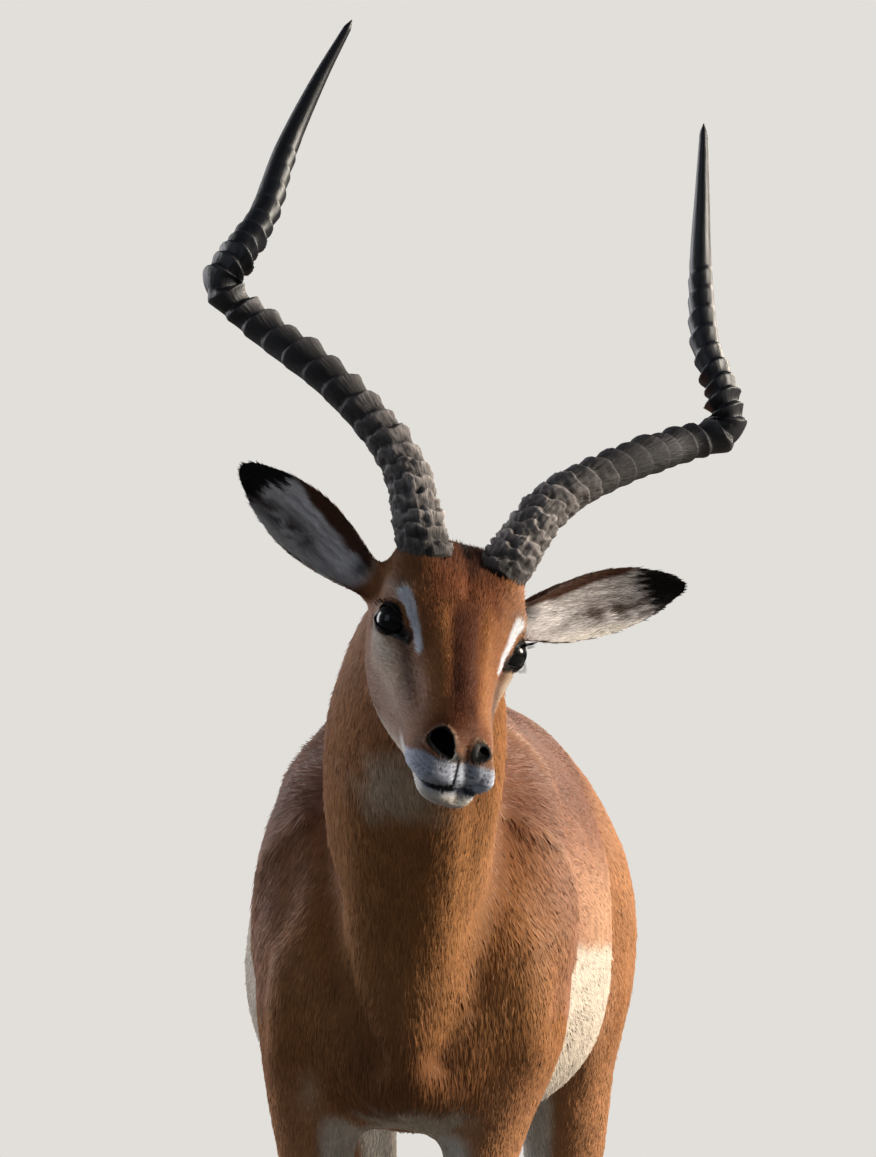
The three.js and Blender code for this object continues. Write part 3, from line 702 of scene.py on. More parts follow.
def head_colours(points, normals):
    across, ahead, level, place = half_face(points)
    out = np.abs(across)
    colours, put = canvas(points, FACE_RED)
    facing = normals @ HEAD_TURN
    top = ease(facing[:, 2], 0.2, 0.75)
    fine = drift(points, 0.006)
    waver = 3 * drift(points, 0.014)
    put(RUFOUS, ease(out, 22, 34) * 0.7)
    put(FACE_GOLD, bump(out + waver - 19, 8) * ease(ahead, -6, 30) * ease(ahead, 134, 112) * 0.8)
    side = ease(level + waver, 5, -10) * ease(ahead, 136, 96)
    put(CHEEK_BROWN, side * ease(ahead, -50, -6) * 0.8)
    put(CHEEK, side * ease(ahead, -26, 4) * ease(ahead, 84, 34) * ease(level, -52, -30) * 0.95)
    bridge = ease(out + 0.6 * waver, 14, 5) * ease(ahead, -8, 24) * ease(ahead, 140, 118)
    put(BRIDGE, bridge * 0.8 * top)
    put(BRIDGE, ease(ahead, 120, 138) * ease(level, -16, -4) * ease(out, 22, 12) * 0.55)
    put(CROWN_BROWN, ease(ahead + waver, -8, -36) * ease(out, 40, 22) * 0.75)
    put(CROWN_BROWN, top * ease(fine, 0.1, 0.6) * ease(ahead, 60, 10) * 0.35)
    put(BLACK, bump(out, 4.5) * ease(ahead, -36, -44) * 0.85)
    # Painted shade: dark lines along two creases of the forehead.
    for crease in (((14, -26, 34), (15, -6, 32)), ((27, 2, 30), (21, 20, 26))):
        put(BRIDGE, bump(along_line(place, crease)[0], 1.6) * 0.7)
    put(EYE_RING, bump(along_line(place, [(50, -26, 15), (47, -6, 23)])[0], 7) * 0.75)
    under_eye = along_line(place, [(54, -18, -10), (52, 2, -14), (45, 24, -14)])[0]
    put(EYE_RING, bump(under_eye, 8) * 0.85)
    gap = along_line(place, [(39, 34, 2), (37, 52, -6), (35, 74, -12)])[0]
    put(BROWN_PATCH, bump(gap + waver, 9) * 0.85)
    gap, share = along_line(place, BROW_STRIPE)
    put(BROW_WHITE, ease(gap + 0.5 * waver, 6.8 - 1.8 * share, 3.2 - share) * 0.9)
    put(CREAM, ease(facing[:, 2], -0.2, -0.7) * ease(level, -40, -60) * ease(ahead, -50, 0)
        * ease(out, 36, 22) * 0.7)
    put(CHEEK_BROWN, ease(level, -2, -12) * ease(ahead, 118, 138) * 0.8)
    lip = np.interp(ahead, [100, 128, 146, 168], [-44, -31, -19, -10])
    # The lips' pale grey, partly painted cool shade: darkened and tinted blue.
    put(MUZZLE_PALE_COOL_SHADE, ease(level - lip + 0.6 * waver, 2.5, -2.5) * ease(ahead, 88, 112))
    put(WHITE, ease(level, -36, -42) * ease(ahead, 80, 108))
    pits = np.hypot((ahead - 1.6 * np.round(level / 3.3) + 2) % 3.6 - 1.8, (level + 1.65) % 3.3 - 1.65)
    pitted = ease(ahead, 128, 140) * ease(level, -33, -30) * ease(level, -4, -8)
    put(PIT, ease(pits, 1.0, 0.6) * pitted * 0.6)
    beside = past_nostril(place)
    put(CHEEK, bump(beside - 3.4, 1.3) * ease(level, -8, -2) * 0.6)
    put(NOSE_BLACK, ease(beside, 2.8, 1.6))
    pad = ease(out, 9.0, 6.5) * ease(level, -1.5, -4.5) * ease(level, -16, -12.5) * ease(ahead, 148, 154)
    put(NOSE_BLACK, pad)
    cleft = ease(out, 2.1, 1.1) * ease(level, -10, -13) * ease(level, -36, -32) * ease(ahead, 150, 156)
    put(NOSE_BLACK, cleft)
    gap, share = along_line(place, MOUTH_LINE)
    under = level < np.interp(ahead, [116, 132, 148, 160, 168], [-44, -40, -36, -33, -31])
    gap = np.where(under, gap / LIP_SHADE, gap)
    parted = ease(gap, 3.4 - 2.6 * share, 2.3 - 1.9 * share) * np.interp(share, [0.3, 0.8], [1, 0.45])
    put(NOSE_BLACK, parted * 0.97)
    for side in SIDES.values():
        along, up, away = eye_frame(points, side)
        gap = opening_gap(along, up)
        near = (away > 0) & (np.hypot(along, up) < 44)
        put(BLACK, near * ease(gap, 3.9, 2.3))
        front = near * bump(up + 2.8, 6.5) * ease(along, 8, 14) * ease(along, 38, 31)
        put(BLACK, front * 0.95)
    return colours


def ear_colours(points, normals, name):
    share, across, _ = ear_frame(points, name)
    cup = in_cup(normals, name)
    waver = drift(points, 0.012)
    colours, put = canvas(points, EAR_BACK)
    put(EAR_BAND, ease(share, 0.35, 0.7) * 0.6)
    put(EAR_GREY, cup)
    streak = np.zeros(len(points))
    for place, reach in ((-0.5, 0.1), (-0.2, 0.07), (0.12, 0.06), (0.42, 0.06)):
        bowed = place * (1 - 0.5 * np.clip(share, 0, 1)) + 0.07 * np.sin(7 * share + 5 * place)
        streak += bump(across - bowed + 0.1 * waver, reach)
    streak *= ease(share + 0.1 * waver, 0.12, 0.3) * ease(share, 0.8, 0.6)
    put(EAR_STREAK, cup * streak * 0.45)
    patch = ease(share, 0.3, 0.5) * ease(drift(points * (1, 1, 2), 0.007), -0.6, 0.1)
    put(EAR_STREAK, cup * bump(across + 0.4, 0.34) * patch * 0.95)
    band = np.interp(share, [0, 0.35, 0.6, 0.85], [0.2, 0.34, 0.6, 0.8])
    put(EAR_BAND, ease(across + 0.08 * waver, band - 0.08, band + 0.12) * ease(share, 0.0, 0.08))
    put(WHITE, cup * ease(across, -0.62, -0.82) * ease(share, 0.8, 0.6) * 0.8)
    put(BLACK, cup * bump(share - 0.1, 0.07) * bump(across - 0.1, 0.3) * 0.85)
    ragged = 0.035 * waver + 0.02 * np.sin(29 * across)
    put(BLACK, ease(share + ragged + 0.07 * across, 0.755, 0.815))
    return colours


def coat_colours(points, normals, nodes):
    """The markings of skin and coat alike, at points on the skin."""
    colours = body_colours(points, normals, nodes)
    _, ahead, level = face_frame(points)
    jaw = np.interp(ahead, [-90, -30, 40, 110, 168], [-84, -92, -84, -72, -62])
    on_head = ease(ahead, -98, -66) * (points[:, 1] < -0.30) * ease(level - jaw, -14, 2)
    lay(colours, head_colours(points, normals), on_head)
    for index, name in EAR_NODES:
        share, over, depth = ear_frame(points, name)
        near = (head_frame(points)[:, 0] * SIDES[name] > 50) & (share > -0.02) & (points[:, 1] < -0.36)
        near &= (nodes == index) | ((np.abs(over) < 1.2) & (np.abs(depth) < 30) & (share < 0.2))
        mask = np.where(near, np.maximum(ease(share, 0.0, 0.1), nodes == index), 0)
        lay(colours, ear_colours(points, normals, name), mask)
    return np.clip(colours, 0.002, 0.9)


# ---------------------------------------------------------------- coat
def lie_of_coat(points, normals, nodes, links):
    """The way the hair lies at each point of the skin, along the skin."""
    _, y, z = points.T
    lie = np.tile((0, 1, -0.35), (len(points), 1))
    for place, direction in (
        (nodes == HEAD, HEAD_TURN @ (0, 1, 0.12)),
        (nodes == NECK, (0, 0.62, -0.78)),
        (nodes == TAIL, (0, 0.1, -1)),
        (nodes > EAR_RIGHT, (0, 0.16, -1)),
        (np.isin(nodes, (NECK, TRUNK)) & (y < -0.12) & (z < 0.80), (0, 0.35, -1)),
        ((nodes == TRUNK) & (y > 0.47), (0, 0.55, -0.9)),
        ((nodes == HEAD) & (face_frame(points)[2] < -60), HEAD_TURN @ (0, 1, -0.2)),
    ):
        lie[place] = direction
    for index, name in EAR_NODES:
        lean = unit(EARS[name][0]) * (SIDES[name], 1, 1)
        lie[nodes == index] = lean @ HEAD_TURN.T
    lie = links.smooth(lie, 25)
    return unit(lie - (lie * normals).sum(1)[:, None] * normals)


# Length, width and thickness of a tuft, how far its tip stands off the skin, and the distance
# between tufts, in millimetres.
LENGTH, WIDTH, THICKNESS, LIFT, SPACING = range(5)
TUFTS = {
    "head": (4.8, 0.85, 0.2, 0.45, 1.2),
    "neck": (11.0, 1.15, 0.28, 0.9, 1.8),
    "trunk": (10.5, 1.5, 0.3, 0.55, 2.5),
    "tail": (30, 2.2, 0.8, 2.2, 2.3),
    "ear": (6.5, 0.9, 0.2, 0.5, 1.45),
    "leg": (7.0, 1.35, 0.3, 0.6, 2.15),
}


def make_mesh(name, points, faces, smooth=False):
    """A mesh of triangles, from arrays."""
    mesh = bpy.data.meshes.new(name)
    mesh.vertices.add(len(points))
    mesh.vertices.foreach_set("co", np.asarray(points, np.float32).ravel())
    mesh.loops.add(faces.size)
    mesh.loops.foreach_set("vertex_index", faces.astype(np.int32).ravel())
    mesh.polygons.add(len(faces))
    mesh.polygons.foreach_set("loop_start", np.arange(0, faces.size, 3, dtype=np.int32))
    mesh.polygons.foreach_set("use_smooth", np.full(len(faces), smooth))
    mesh.update(calc_edges=True)
    piece = bpy.data.objects.new(name, mesh)
    bpy.context.scene.collection.objects.link(piece)
    return piece


def set_values(piece, name, values):
    attribute = piece.data.attributes.new(name, "FLOAT", "POINT")
    attribute.data.foreach_set("value", values.astype(np.float32))


def set_colours(piece, colours, name="coat_colour"):
    attribute = piece.data.color_attributes.new(name, "FLOAT_COLOR", "POINT")
    values = np.ones((len(colours), 4), np.float32)
    values[:, :3] = colours
    attribute.data.foreach_set("color", values.ravel())


def scatter(piece, spacing):
    """Places spread evenly over the skin: the face that each is on and its weights there."""
    mesh = piece.data
    mesh.calc_loop_triangles()
    corners = read(mesh.loop_triangles, "vertices", 3, np.int32)
    places = read_points(piece)[corners]
    area = np.linalg.norm(np.cross(places[:, 1] - places[:, 0], places[:, 2] - places[:, 0]), axis=1) / 2
    wanted = area / (spacing[corners].mean(1) * MM) ** 2
    count = np.floor(wanted + dice.random(len(wanted))).astype(int)
    chosen = np.repeat(np.arange(len(corners)), count)
    first, second = dice.random((2, len(chosen)))
    folded = first + second > 1
    first[folded], second[folded] = 1 - first[folded], 1 - second[folded]
    return corners[chosen], np.stack([1 - first - second, first, second], 1)


def repeat_shape(corners, pattern, colours, shades):
    """Points, faces and colours of a small shape made at every root."""
    points = np.stack(corners, 1)
    count, size = points.shape[:2]
    faces = (np.arange(count)[:, None, None] * size + np.array(pattern)).reshape(-1, 3)
    shaded = np.clip(colours[:, None, :] * np.asarray(shades)[..., None], 0, 1)
    return points.reshape(-1, 3), faces, shaded.reshape(-1, 3)


# Tufts darken toward their roots: painted shade down in the coat.
ROOT_SHADE, RIDGE_PLACE, NORMAL_SPREAD = 0.68, 0.32, 0.13


def short_tufts(roots, normals, lie, sizes, colours, tips):
    """Flat four-faced tufts: points, faces, colours, the flat shape of one, and soft normals.

    Each has two points at the root, under the skin, one on its ridge and one at the tip. tips is how
    light each tip is beside the rest. sizes has columns length, width, thickness and lift, in metres."""
    length, width, thickness, lift = (column[:, None] for column in sizes.T)
    aside = unit(np.cross(lie, normals))
    root, half = roots - normals * thickness, aside * width / 2
    ridge = roots + lie * length * RIDGE_PLACE + normals * (0.4 * lift + thickness)
    tip = roots + lie * length + normals * lift
    shades = np.stack([ROOT_SHADE + 0 * tips, ROOT_SHADE + 0 * tips, 1 + 0 * tips, tips], 1)
    pattern = [(1, 0, 3), (0, 1, 2), (1, 3, 2), (0, 2, 3)]
    shape = repeat_shape([root - half, root + half, ridge, tip], pattern, colours, shades)
    leaning = normals + dice.normal(0, NORMAL_SPREAD, normals.shape)
    soft = np.stack([leaning - 0.5 * aside, leaning + 0.5 * aside, leaning, leaning + 0.3 * lie], 1)
    flat = [(0, 0), (0, 1), (RIDGE_PLACE, 0.5), (1, 0.5)]
    return *shape, flat, unit(soft.reshape(-1, 3))


def locks(roots, normals, lie, sizes, colours, rings):
    """Tapered three-sided locks: points, faces, colours and the flat shape of one.

    rings is the number of three-cornered rings between the point at the root and the one at the tip."""
    length, width, thickness, lift = (column[:, None] for column in sizes.T)
    aside = unit(np.cross(lie, normals))

    def middle(share):
        return roots + lie * length * share + normals * (lift * (1 - (1 - share) ** 2))

    # The shades darken each lock toward its root and on the sides of its rings: painted shade.
    corners, shades, flat = [roots - normals * thickness], [0.72], [(0, 0.5)]
    for ring in range(rings):
        share = (ring + 0.9) / (rings + 1.2)
        swell = (1 - 0.75 * max(0, share - 0.45) / 0.55) * min(1, share / 0.3)
        centre, half = middle(share), aside * width / 2 * swell
        corners += [centre - half, centre + half, centre + normals * thickness * swell]
        shades += [0.9 + 0.1 * share, 0.9 + 0.1 * share, 1]
        flat += [(share, 0), (share, 1), (share, 0.5)]
    corners.append(middle(1.0))
    shades.append(1.14)
    flat.append((1, 0.5))
    last, tip = len(corners) - 4, len(corners) - 1
    pattern = [(0, 1, 2), (0, 2, 3), (0, 3, 1)]
    for low, high in zip(range(1, last, 3), range(4, tip, 3)):
        for here, after in ((0, 1), (1, 2), (2, 0)):
            pattern += [(low + here, high + after, low + after), (low + here, high + here, high + after)]
    pattern += [(tip, last + 1, last), (tip, last + 2, last + 1), (tip, last, last + 2)]
    return *repeat_shape(corners, pattern, colours, shades), flat


HORN_POINTS = [
    (35.4, 39.7, 60.6), (62.2, 73.2, 109.7), (115, 118.6, 144.9), (180.2, 191.9, 168), (211, 206, 186),
    (203, 218, 211), (185, 246, 241), (173, 287, 291), (160, 308, 348), (147.1, 318.9, 398.4),
]  # the left horn's middle line in the head's frame
HORN_BASE_RADIUS = 19
HORN_TAPER = [1.1, 0.84, 0.74, 0.63, 0.46, 0.15]
HORN_RING_HEIGHT = 6.4
FIRST_RING, LAST_RING = -0.036, 0.82
HORN_SINK = 20
RING_WOBBLE = [(3, 40, 0), (5, -90, 1.3), (9, 210, 0)]  # waves round and along the horn, and their starts
HORN_SIDES, HORN_STEPS = 72, 620


def bare_skin(points):
    """1 where no hair grows: eyes, nostrils, lips and under the horns."""
    across, ahead, level, place = half_face(points)
    bare = past_nostril(place) < 1.7
    gap, share = along_line(place, MOUTH_LINE)
    bare |= gap < 1.8 - 1.3 * share
    bare |= (np.abs(across) < 5.5) & (level < -4) & (level > -13) & (ahead > 152)
    bare |= (np.abs(across) < 1.3) & (level < -10) & (level > -33) & (ahead > 152)
    for side in SIDES.values():
        along, up, away = eye_frame(points, side)
        bare |= (opening_gap(along, up) < 1.8) & (away > 0) & (np.hypot(along, up) < 40)
        start, after = (np.array(point) * (side, 1, 1) for point in HORN_POINTS[:2])
        axis = unit(after - start)
        place = head_frame(points) - start
        reach = np.linalg.norm(place - (place @ axis)[:, None] * axis, axis=1)
        bare |= (reach < HORN_BASE_RADIUS - 0.5) & (place @ axis > -40)
    return bare | (points[:, 2] < HOOF_TOP)


def tuft_sizes(points, nodes, links):
    """Length, width, thickness, lift and spacing at each point of the skin, in millimetres."""
    _, ahead, level = face_frame(points)
    z = points[:, 2] / MM
    sizes = links.smooth(by_node(nodes, TUFTS), 6)
    muzzle = ease(ahead, 60, 150) * (nodes == HEAD)
    jaw = (nodes == HEAD) * ease(ahead, -10, -60) * ease(level, -30, -70)
    crown = (nodes == HEAD) * ease(ahead, 0, -34) * ease(level, 20, 34)
    ear_tip = sum((nodes == index) * ease(ear_frame(points, name)[0], 0.7, 0.92) for index, name in EAR_NODES)
    belly = (nodes == TRUNK) * ease(z, 640, 560)
    foot = (nodes > EAR_RIGHT) * ease(z, 200, 90)
    for place, changes in (
        (muzzle, {LENGTH: -0.42, WIDTH: -0.25, SPACING: -0.16}),
        (jaw, {LENGTH: 0.8, WIDTH: 0.4}),
        (crown, {LENGTH: 0.9, LIFT: 2.2}),
        (ear_tip, {LENGTH: -0.45, LIFT: -0.7}),
        (belly, {LENGTH: 0.35}),
        (foot, {LENGTH: -0.2, WIDTH: -0.2}),
    ):
        for column, change in changes.items():
            sizes[:, column] *= 1 + change * place
    return sizes


LEG_BAND = 60  # height of the bands in which a leg's middle is found


def round_leg(points, z):
    """How far round its leg each point is, from the leg's middle at that height."""
    band = np.round((z + 20) / LEG_BAND).astype(int)
    count = np.maximum(np.bincount(band), 1)
    middles = np.stack([np.bincount(band, column) / count for column in points[:, :2].T], 1)
    return np.arctan2(*(points[:, :2] - middles[band]).T)


def unwrap(nodes, points):
    """Where each root lies on the coat's flat map: along its part of the body and round it."""
    across, ahead, level = face_frame(points)
    x, y, z = (points / MM).T
    along = np.select([nodes == HEAD, nodes <= TRUNK], [ahead, y], z)
    around = np.select(
        [nodes == HEAD, nodes == NECK, nodes == TRUNK, nodes == TAIL],
        [np.arctan2(across, level + 30), np.arctan2(x + 25, z + 0.7 * y - 620),
         np.arctan2(x - MIDLINE, z - 690), np.arctan2(x - MIDLINE, y - 640)], 0.0)
    for index in LEG_NODES:
        leg = nodes == index
        around[leg] = round_leg(points[leg], z[leg]) + 2 * math.pi * (index - LEG_NODES[0])
    for index, name in EAR_NODES:
        ear = nodes == index
        along[ear], around[ear], _ = ear_frame(points[ear], name)
    return np.stack([along, around], 1)


def fill_square(places):
    """Places on a map, spread over its whole square on a straight scale within each direction."""
    low, high = places.min(0), places.max(0)
    return 0.01 + 0.98 * (places - low) / np.maximum(high - low, 1e-9)


PATCH = 0.003  # size of one tuft on the map


def add_tufts(name, shape, centres, material, soft=None):
    """A piece of the coat, each tuft on its own small patch of the map, round the place of its root."""
    points, faces, shades, flat = shape
    piece = make_mesh(name, points, faces, smooth=soft is not None)
    if soft is not None:
        piece.data.normals_split_custom_set_from_vertices(soft.astype(np.float32))
    set_colours(piece, shades)
    layer = piece.data.uv_layers.new(name="OFBake", do_init=False)
    spots = (centres[:, None] + PATCH * (np.array(flat) - 0.5)).reshape(-1, 2)
    layer.uv.foreach_set("vector", spots[faces.ravel()].astype(np.float32).ravel())
    piece.data.materials.append(material)
    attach(piece, "root")


# Coat pieces: name, the flesh nodes that carry it, and how many pieces it is shared over.
COAT_PIECES = [
    ("coat_head", [HEAD], 2), ("coat_neck", [NECK], 2), ("coat_trunk", [TRUNK], 3), ("coat_tail", [TAIL], 1),
    ("coat_ears", [EAR_LEFT, EAR_RIGHT], 1), ("coat_forelegs", [6, 7], 1), ("coat_hind_legs", HIND_NODES, 2),
]


LIE_SPREAD = 0.14  # how far tufts turn aside from the lie of the coat
SIZE_SPREADS = (0.2, 0.18, 0.15, 0.3)
STRAY_SHARE, STRAY_LIFT = 0.06, 2.2
TONE_SPREAD, TINT_SPREAD = 0.12, 0.02
DARK_SHARE, NECK_DARK_SHARE = 0.15, 0.3  # shares of the tufts with dark tips
DARK_TIP, LIGHT_TIP = (0.42, 0.8), (0.95, 1.25)
PALE_COAT, PALE_COAT_TIP = 0.45, 0.86  # tips on a coat paler than this are no darker than this


def plant_coat(skin, nodes, normals, lie, sizes, hole, material):
    points = read_points(skin)
    corners, weights = scatter(skin, sizes[:, SPACING])

    def at_root(values):
        share = weights if values.ndim == 1 else weights[..., None]
        return (values[corners] * share).sum(1)

    roots = at_root(points)
    keep = ~bare_skin(roots) & (at_root(hole) < 0.01)
    corners, weights, roots = corners[keep], weights[keep], roots[keep]
    count = len(roots)
    root_nodes = nodes[corners[:, 0]]
    root_normals = unit(at_root(normals))
    root_lie = unit(at_root(lie))
    aside = np.cross(root_normals, root_lie)
    root_lie = unit(root_lie + aside * dice.normal(0, LIE_SPREAD, (count, 1)))
    root_sizes = at_root(sizes)[:, :SPACING] * MM
    root_sizes *= np.exp(dice.normal(0, SIZE_SPREADS, (count, 4)))
    stray = dice.random(count) < STRAY_SHARE
    root_sizes[stray, LIFT] *= STRAY_LIFT
    colours = coat_colours(roots, root_normals, root_nodes)
    clumps = 0.10 * drift(roots, 0.009) + 0.09 * drift(roots, 0.03, 17.3)
    colours *= np.exp(dice.normal(0, TONE_SPREAD, count) + clumps)[:, None]
    colours *= 1 + dice.normal(0, TINT_SPREAD, (count, 3))
    dark = dice.random(count) < np.where(root_nodes == NECK, NECK_DARK_SHARE, DARK_SHARE)
    tips = np.where(dark, dice.uniform(*DARK_TIP, count), dice.uniform(*LIGHT_TIP, count))
    tips = np.where(colours.mean(1) > PALE_COAT, np.maximum(tips, PALE_COAT_TIP), tips)
    places = unwrap(root_nodes, roots)
    for name, carriers, shares in COAT_PIECES:
        inside = np.flatnonzero(np.isin(root_nodes, carriers))
        inside = inside[np.argsort(places[inside, 0], kind="stable")]
        for number, chosen in enumerate(np.array_split(inside, shares)):
            title = name if shares == 1 else f"{name}_{number + 1}"
            growing = [rows[chosen] for rows in (roots, root_normals, root_lie, root_sizes, colours)]
            centres = fill_square(places[chosen])
            if name == "coat_tail":
                add_tufts(title, locks(*growing, rings=3), centres, material)
            else:
                *shape, soft = short_tufts(*growing, tips[chosen])
                add_tufts(title, shape, centres, material, soft)


# ---------------------------------------------------------------- materials
def wire(tree, node, inputs):
    """Gives each named input of a node its value, or a link from a socket or a node's first output."""
    for key, value in inputs.items():
        if isinstance(value, bpy.types.Node):
            value = value.outputs[0]
        if isinstance(value, bpy.types.NodeSocket):
            tree.links.new(value, node.inputs[key])
        else:
            node.inputs[key].default_value = value


def add_node(tree, kind, inputs=None, **properties):
    node = tree.nodes.new("ShaderNode" + kind)
    for key, value in properties.items():
        setattr(node, key, value)
    wire(tree, node, inputs or {})
    return node


def new_material(name):
    material = bpy.data.materials.new(name)
    material.use_nodes = True
    return material, material.node_tree, material.node_tree.nodes["Principled BSDF"]


def object_place(tree):
    return add_node(tree, "TexCoord").outputs["Object"]


def spread(tree, value, low, high, start=0.0, end=1.0, **properties):
    """A value between start and end, moved to lie between low and high."""
    inputs = {"Value": value, "From Min": start, "From Max": end, "To Min": low, "To Max": high}
    return add_node(tree, "MapRange", inputs, **properties)


def scaled(tree, colour, factor):
    return add_node(tree, "VectorMath", {0: colour, "Scale": factor}, operation="SCALE")


def length_of(tree, vector):
    return add_node(tree, "VectorMath", {0: vector}, operation="LENGTH").outputs["Value"]


def mottled(tree, attribute, scale, low, high):
    """A colour attribute made a little lighter and darker by noise."""
    colour = add_node(tree, "Attribute", attribute_name=attribute)
    noise = add_node(tree, "TexNoise", {"Vector": object_place(tree), "Scale": scale, "Detail": 4.0})
    return scaled(tree, colour, spread(tree, noise, low, high))


def add_ramp(tree, value, stops):
    """Colours run from stop to stop, each stop a place from 0 to 1 and a tone."""
    ramp = add_node(tree, "ValToRGB", {"Fac": value})
    for position, _ in stops[1:-1]:
        ramp.color_ramp.elements.new(position)
    for element, (position, colour) in zip(ramp.color_ramp.elements, stops):
        element.position = position
        element.color = (*tone(*colour), 1)
    return ramp


def hair_material():
    """Dry, softly shining hair in the coat's own colours."""
    material, tree, shader = new_material("hair")
    wire(tree, shader, {
        "Base Color": mottled(tree, "coat_colour", 26, 0.86, 1.14),
        "Roughness": 0.58, "Specular IOR Level": 0.2, "Sheen Weight": 0.05, "Sheen Roughness": 0.45,
    })
    return material


def skin_material():
    """Skin with its undercoat: the coat's colours, a fine hair grain, and a moist nose and lips."""
    material, tree, shader = new_material("skin_and_undercoat")
    moist = add_node(tree, "Attribute", attribute_name="moist").outputs["Fac"]
    grain = add_node(tree, "TexNoise", {"Vector": object_place(tree), "Scale": 900.0, "Detail": 3.0})
    wire(tree, shader, {
        "Base Color": mottled(tree, "coat_colour", 26, 0.8, 1.06),
        "Roughness": spread(tree, moist, 0.75, 0.4), "Specular IOR Level": 0.12,
        "Normal": add_node(tree, "Bump", {"Height": grain, "Strength": 0.45, "Distance": 0.0006}),
    })
    return material


def horn_material():
    """Horn: fibrous and matt at the root, dark and polished toward the tip."""
    material, tree, shader = new_material("horn")
    polish = add_node(tree, "Attribute", attribute_name="polish").outputs["Fac"]
    chart = add_node(tree, "UVMap", uv_map="along_horn")
    stretch = add_node(tree, "Mapping", {"Vector": chart, "Scale": (46, 30, 1)})
    fibre = add_node(tree, "TexNoise", {"Vector": stretch, "Scale": 1.0, "Detail": 5.0, "Roughness": 0.6})
    shade = mottled(tree, "horn_colour", 230, 0.45, 1.6)
    bumps = {"Height": fibre, "Strength": spread(tree, polish, 0.9, 0.15), "Distance": 0.003}
    wire(tree, shader, {
        "Base Color": scaled(tree, shade, spread(tree, fibre, 0.7, 1.3, 0.3, 0.7)),
        "Roughness": spread(tree, polish, 0.75, 0.4),
        "Normal": add_node(tree, "Bump", bumps),
    })
    return material


def hoof_material():
    """Black-brown horn of the hooves, with fine growth lines."""
    material, tree, shader = new_material("hoof")
    squash = add_node(tree, "Mapping", {"Vector": object_place(tree), "Scale": (60, 60, 420)})
    lines = add_node(tree, "TexNoise", {"Vector": squash, "Scale": 1.0, "Detail": 3.0})
    wire(tree, shader, {
        "Base Color": add_ramp(tree, lines, [(0.3, (26, 22, 20)), (0.75, (74, 62, 52))]),
        "Roughness": 0.42,
        "Normal": add_node(tree, "Bump", {"Height": lines, "Strength": 0.5, "Distance": 0.0005}),
    })
    return material


IRIS_STOPS = [
    (0.0, (9, 8, 10)), (0.30, (13, 10, 11)), (0.38, (10, 8, 9)), (0.43, (7, 6, 7)), (0.56, (24, 19, 18)),
    (1.0, (255, 255, 255)),  # the white, behind the lids
]


def eye_material():
    """A dark brown iris round a wide level pupil, under a wet clear surface."""
    material, tree, shader = new_material("eye")
    chart = add_node(tree, "UVMap", uv_map="iris_place")
    centred = add_node(tree, "VectorMath", {0: chart, 1: (0.5, 0.5, 0)}, operation="SUBTRACT")
    fibres = add_node(tree, "TexNoise", {"Vector": centred, "Scale": 28.0, "Detail": 4.0})
    reach = {0: fibres, 1: 0.05, 2: length_of(tree, centred)}
    iris = add_ramp(tree, add_node(tree, "Math", reach, operation="MULTIPLY_ADD"), IRIS_STOPS)
    widened = add_node(tree, "VectorMath", {0: centred, 1: (0.55, 1.25, 0)}, operation="MULTIPLY")
    pupil = spread(tree, length_of(tree, widened), 0, 1, 0.12, 0.145, interpolation_type="SMOOTHSTEP")
    mix = add_node(tree, "Mix", {"Factor": pupil, "A": (0.002, 0.002, 0.003, 1), "B": iris}, data_type="RGBA")
    wire(tree, shader, {
        "Base Color": mix.outputs["Result"], "Roughness": 0.3, "Specular IOR Level": 0.1,
        "Coat Weight": 0.9, "Coat IOR": 1.34, "Coat Roughness": 0.02,
    })
    return material


# ---------------------------------------------------------------- horns
def with_ends(rows):
    """The rows and one more at each end, in line with the last two."""
    return np.concatenate([2 * rows[:1] - rows[1:2], rows, 2 * rows[-1:] - rows[-2:-1]])


def eased(rows, places):
    """Numbers eased through even rows, at places given as row numbers."""
    low = np.clip(np.floor(places).astype(int), 0, len(rows) - 2)
    part = places - low
    p0, p1, p2, p3 = (with_ends(np.array(rows))[low + step] for step in range(4))
    return 0.5 * (2 * p1 + (p2 - p0) * part + (2 * p0 - 5 * p1 + 4 * p2 - p3) * part**2
                  + (3 * p1 - p0 - 3 * p2 + p3) * part**3)


def centripetal(points, count):
    """Even points along a centripetal curve through the given ones."""
    points = np.asarray(points, float)
    padded, fine = with_ends(points), []
    for index in range(len(points) - 1):
        p0, p1, p2, p3 = padded[index:index + 4]
        d0, d1, d2 = (np.linalg.norm(b - a) ** 0.5 for a, b in ((p0, p1), (p1, p2), (p2, p3)))
        out = ((p1 - p0) / d0 - (p2 - p0) / (d0 + d1) + (p2 - p1) / d1) * d1
        back = ((p2 - p1) / d1 - (p3 - p1) / (d1 + d2) + (p3 - p2) / d2) * d1
        t = np.linspace(0, 1, 60, endpoint=index == len(points) - 2)[:, None]
        fine.append(p1 + out * t + (-3 * p1 + 3 * p2 - 2 * out - back) * t**2
                    + (2 * p1 - 2 * p2 + out + back) * t**3)
    fine = np.concatenate(fine)
    length = np.concatenate([[0], np.cumsum(np.linalg.norm(np.diff(fine, axis=0), axis=1))])
    even = np.linspace(0, length[-1], count)
    return np.stack([np.interp(even, length, column) for column in fine.T], 1), length[-1]


def ring_pitch(share):
    return (0.0235 + 0.022 * bump(share - 0.33, 0.16) - 0.007 * bump(share - 0.55, 0.05)
            + 0.009 * ease(share, 0.57, 0.66))


